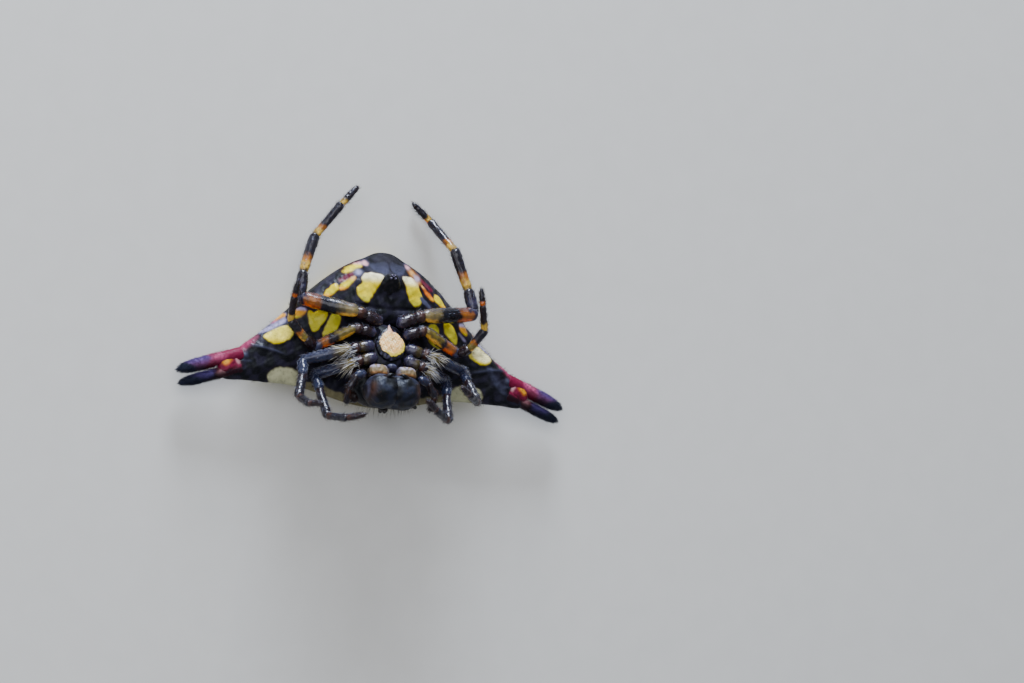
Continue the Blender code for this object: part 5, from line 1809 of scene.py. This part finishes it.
@dataclass
class Studio:
    """Pale floor, soft lights, and the camera at the photograph's angle."""

    image_px: tuple[int, int] = (1024, 683)
    sternum_px: Plan = (391.0, 343.0)
    px_per_mm: float = 25.0
    sternum_mm: Vec = (0.0, -0.653, 2.639)
    right: Vec = (0.928, 0.0868, 0.362)
    toward: Vec = (-0.360, -0.045, 0.932)
    lens_mm: float = 300.0
    sensor_mm: float = 36.0
    floor_half: float = 0.6
    floor_tooth: float = 900.0
    floor_shades: Plan = (0.60, 0.64)
    sky: Vec = (0.88, 0.93, 1.0)
    sky_strength: float = 0.34
    lamps: tuple = (
        ("sky_light", (-14.0, 152.0, 34.0), 54.0, 0.62, (0.84, 0.91, 1.0)),
        ("side_light", (-140.0, -40.0, 90.0), 90.0, 0.05, (1.0, 0.98, 0.95)),
        ("fill_light", (-60.0, 60.0, 150.0), 150.0, 0.20, (1.0, 0.99, 0.97)),
    )

    def camera(self) -> None:
        """A long lens that puts the sternum on its place in the picture."""
        back = unit(np.array(self.toward))
        right = unit(np.array(self.right) - back * np.dot(self.right, back))
        up = np.cross(back, right)
        middle = np.array(self.sternum_mm)
        middle = middle + right * (self.image_px[0] / 2 - self.sternum_px[0]) / self.px_per_mm
        middle = middle + up * (self.sternum_px[1] - self.image_px[1] / 2) / self.px_per_mm
        away = self.image_px[0] / self.px_per_mm * self.lens_mm / self.sensor_mm
        data = bpy.data.cameras.new("camera")
        data.lens = self.lens_mm
        data.sensor_width = self.sensor_mm
        data.clip_start = 0.01
        data.clip_end = 20.0
        camera = bpy.data.objects.new("camera", data)
        stand(camera, (right, up, back), middle + back * away)
        bpy.context.scene.camera = camera

    def lamp(self, name: str, place: Vec, size: float, watts: float, colour: Vec) -> None:
        """A square soft light that looks at the model.

        Args:
            name: The lamp's name.
            place: Its place in millimetres.
            size: Its edge in millimetres.
            watts: Its power.
            colour: Its linear colour.
        """
        data = bpy.data.lights.new(name, "AREA")
        data.size = size * MM
        data.energy = watts
        data.color = colour
        lamp = bpy.data.objects.new(name, data)
        away = unit(np.array(place))
        side = unit(np.cross((0.0, 0.0, 1.0), away))
        stand(lamp, (side, np.cross(away, side), away), np.array(place))

    def floor(self) -> None:
        """A broad pale floor just under the model's flat back, with a faint tooth."""
        mesh = bpy.data.meshes.new("floor")
        signs = ((-1.0, -1.0), (1.0, -1.0), (1.0, 1.0), (-1.0, 1.0))
        corners = [(x * self.floor_half, y * self.floor_half, 0.0) for x, y in signs]
        mesh.from_pydata(corners, [], [(0, 1, 2, 3)])
        made, tree, shader = fresh_material("floor_paper")
        place = add_node(tree, "ShaderNodeTexCoord").outputs["Object"]
        tooth = add_node(tree, "ShaderNodeTexNoise", {"Scale": self.floor_tooth, "Vector": place})
        low, high = self.floor_shades
        shade = add_node(tree, "ShaderNodeMapRange", {
            "To Min": low, "To Max": high, "Value": tooth.outputs["Fac"]}).outputs["Result"]
        grey = add_node(tree, "ShaderNodeCombineColor", {"Red": shade, "Green": shade, "Blue": shade})
        feed(tree, shader, {"Base Color": grey.outputs["Color"], "Roughness": 0.85})
        mesh.materials.append(made)
        floor = bpy.data.objects.new("floor", mesh)
        bpy.context.scene.collection.objects.link(floor)

    def build(self) -> None:
        """Set the stage."""
        self.camera()
        self.floor()
        for lamp in self.lamps:
            self.lamp(*lamp)
        world = bpy.data.worlds.new("studio")
        world.use_nodes = True
        background = world.node_tree.nodes["Background"]
        background.inputs["Color"].default_value = (*self.sky, 1.0)
        background.inputs["Strength"].default_value = self.sky_strength
        bpy.context.scene.world = world


def main() -> None:
    """Build the stage and every piece of the animal, then note the sizes."""
    logging.basicConfig(level=logging.INFO, format="%(name)s %(message)s")
    Studio().build()
    Abdomen().build()
    for side in SIDES:
        SidePair(side).build()
    FrontBody().build()
    for index, ((side, number), pose) in enumerate(POSE.items()):
        stance = Stance(side, number, BASES[number], LENGTHS[number], pose, GIRTH[number],
                        FEMUR_GIRTH[number], BANDS[number])
        Leg(stance).build(index)
    Palps().build()


if __name__ == "__main__":
    main()
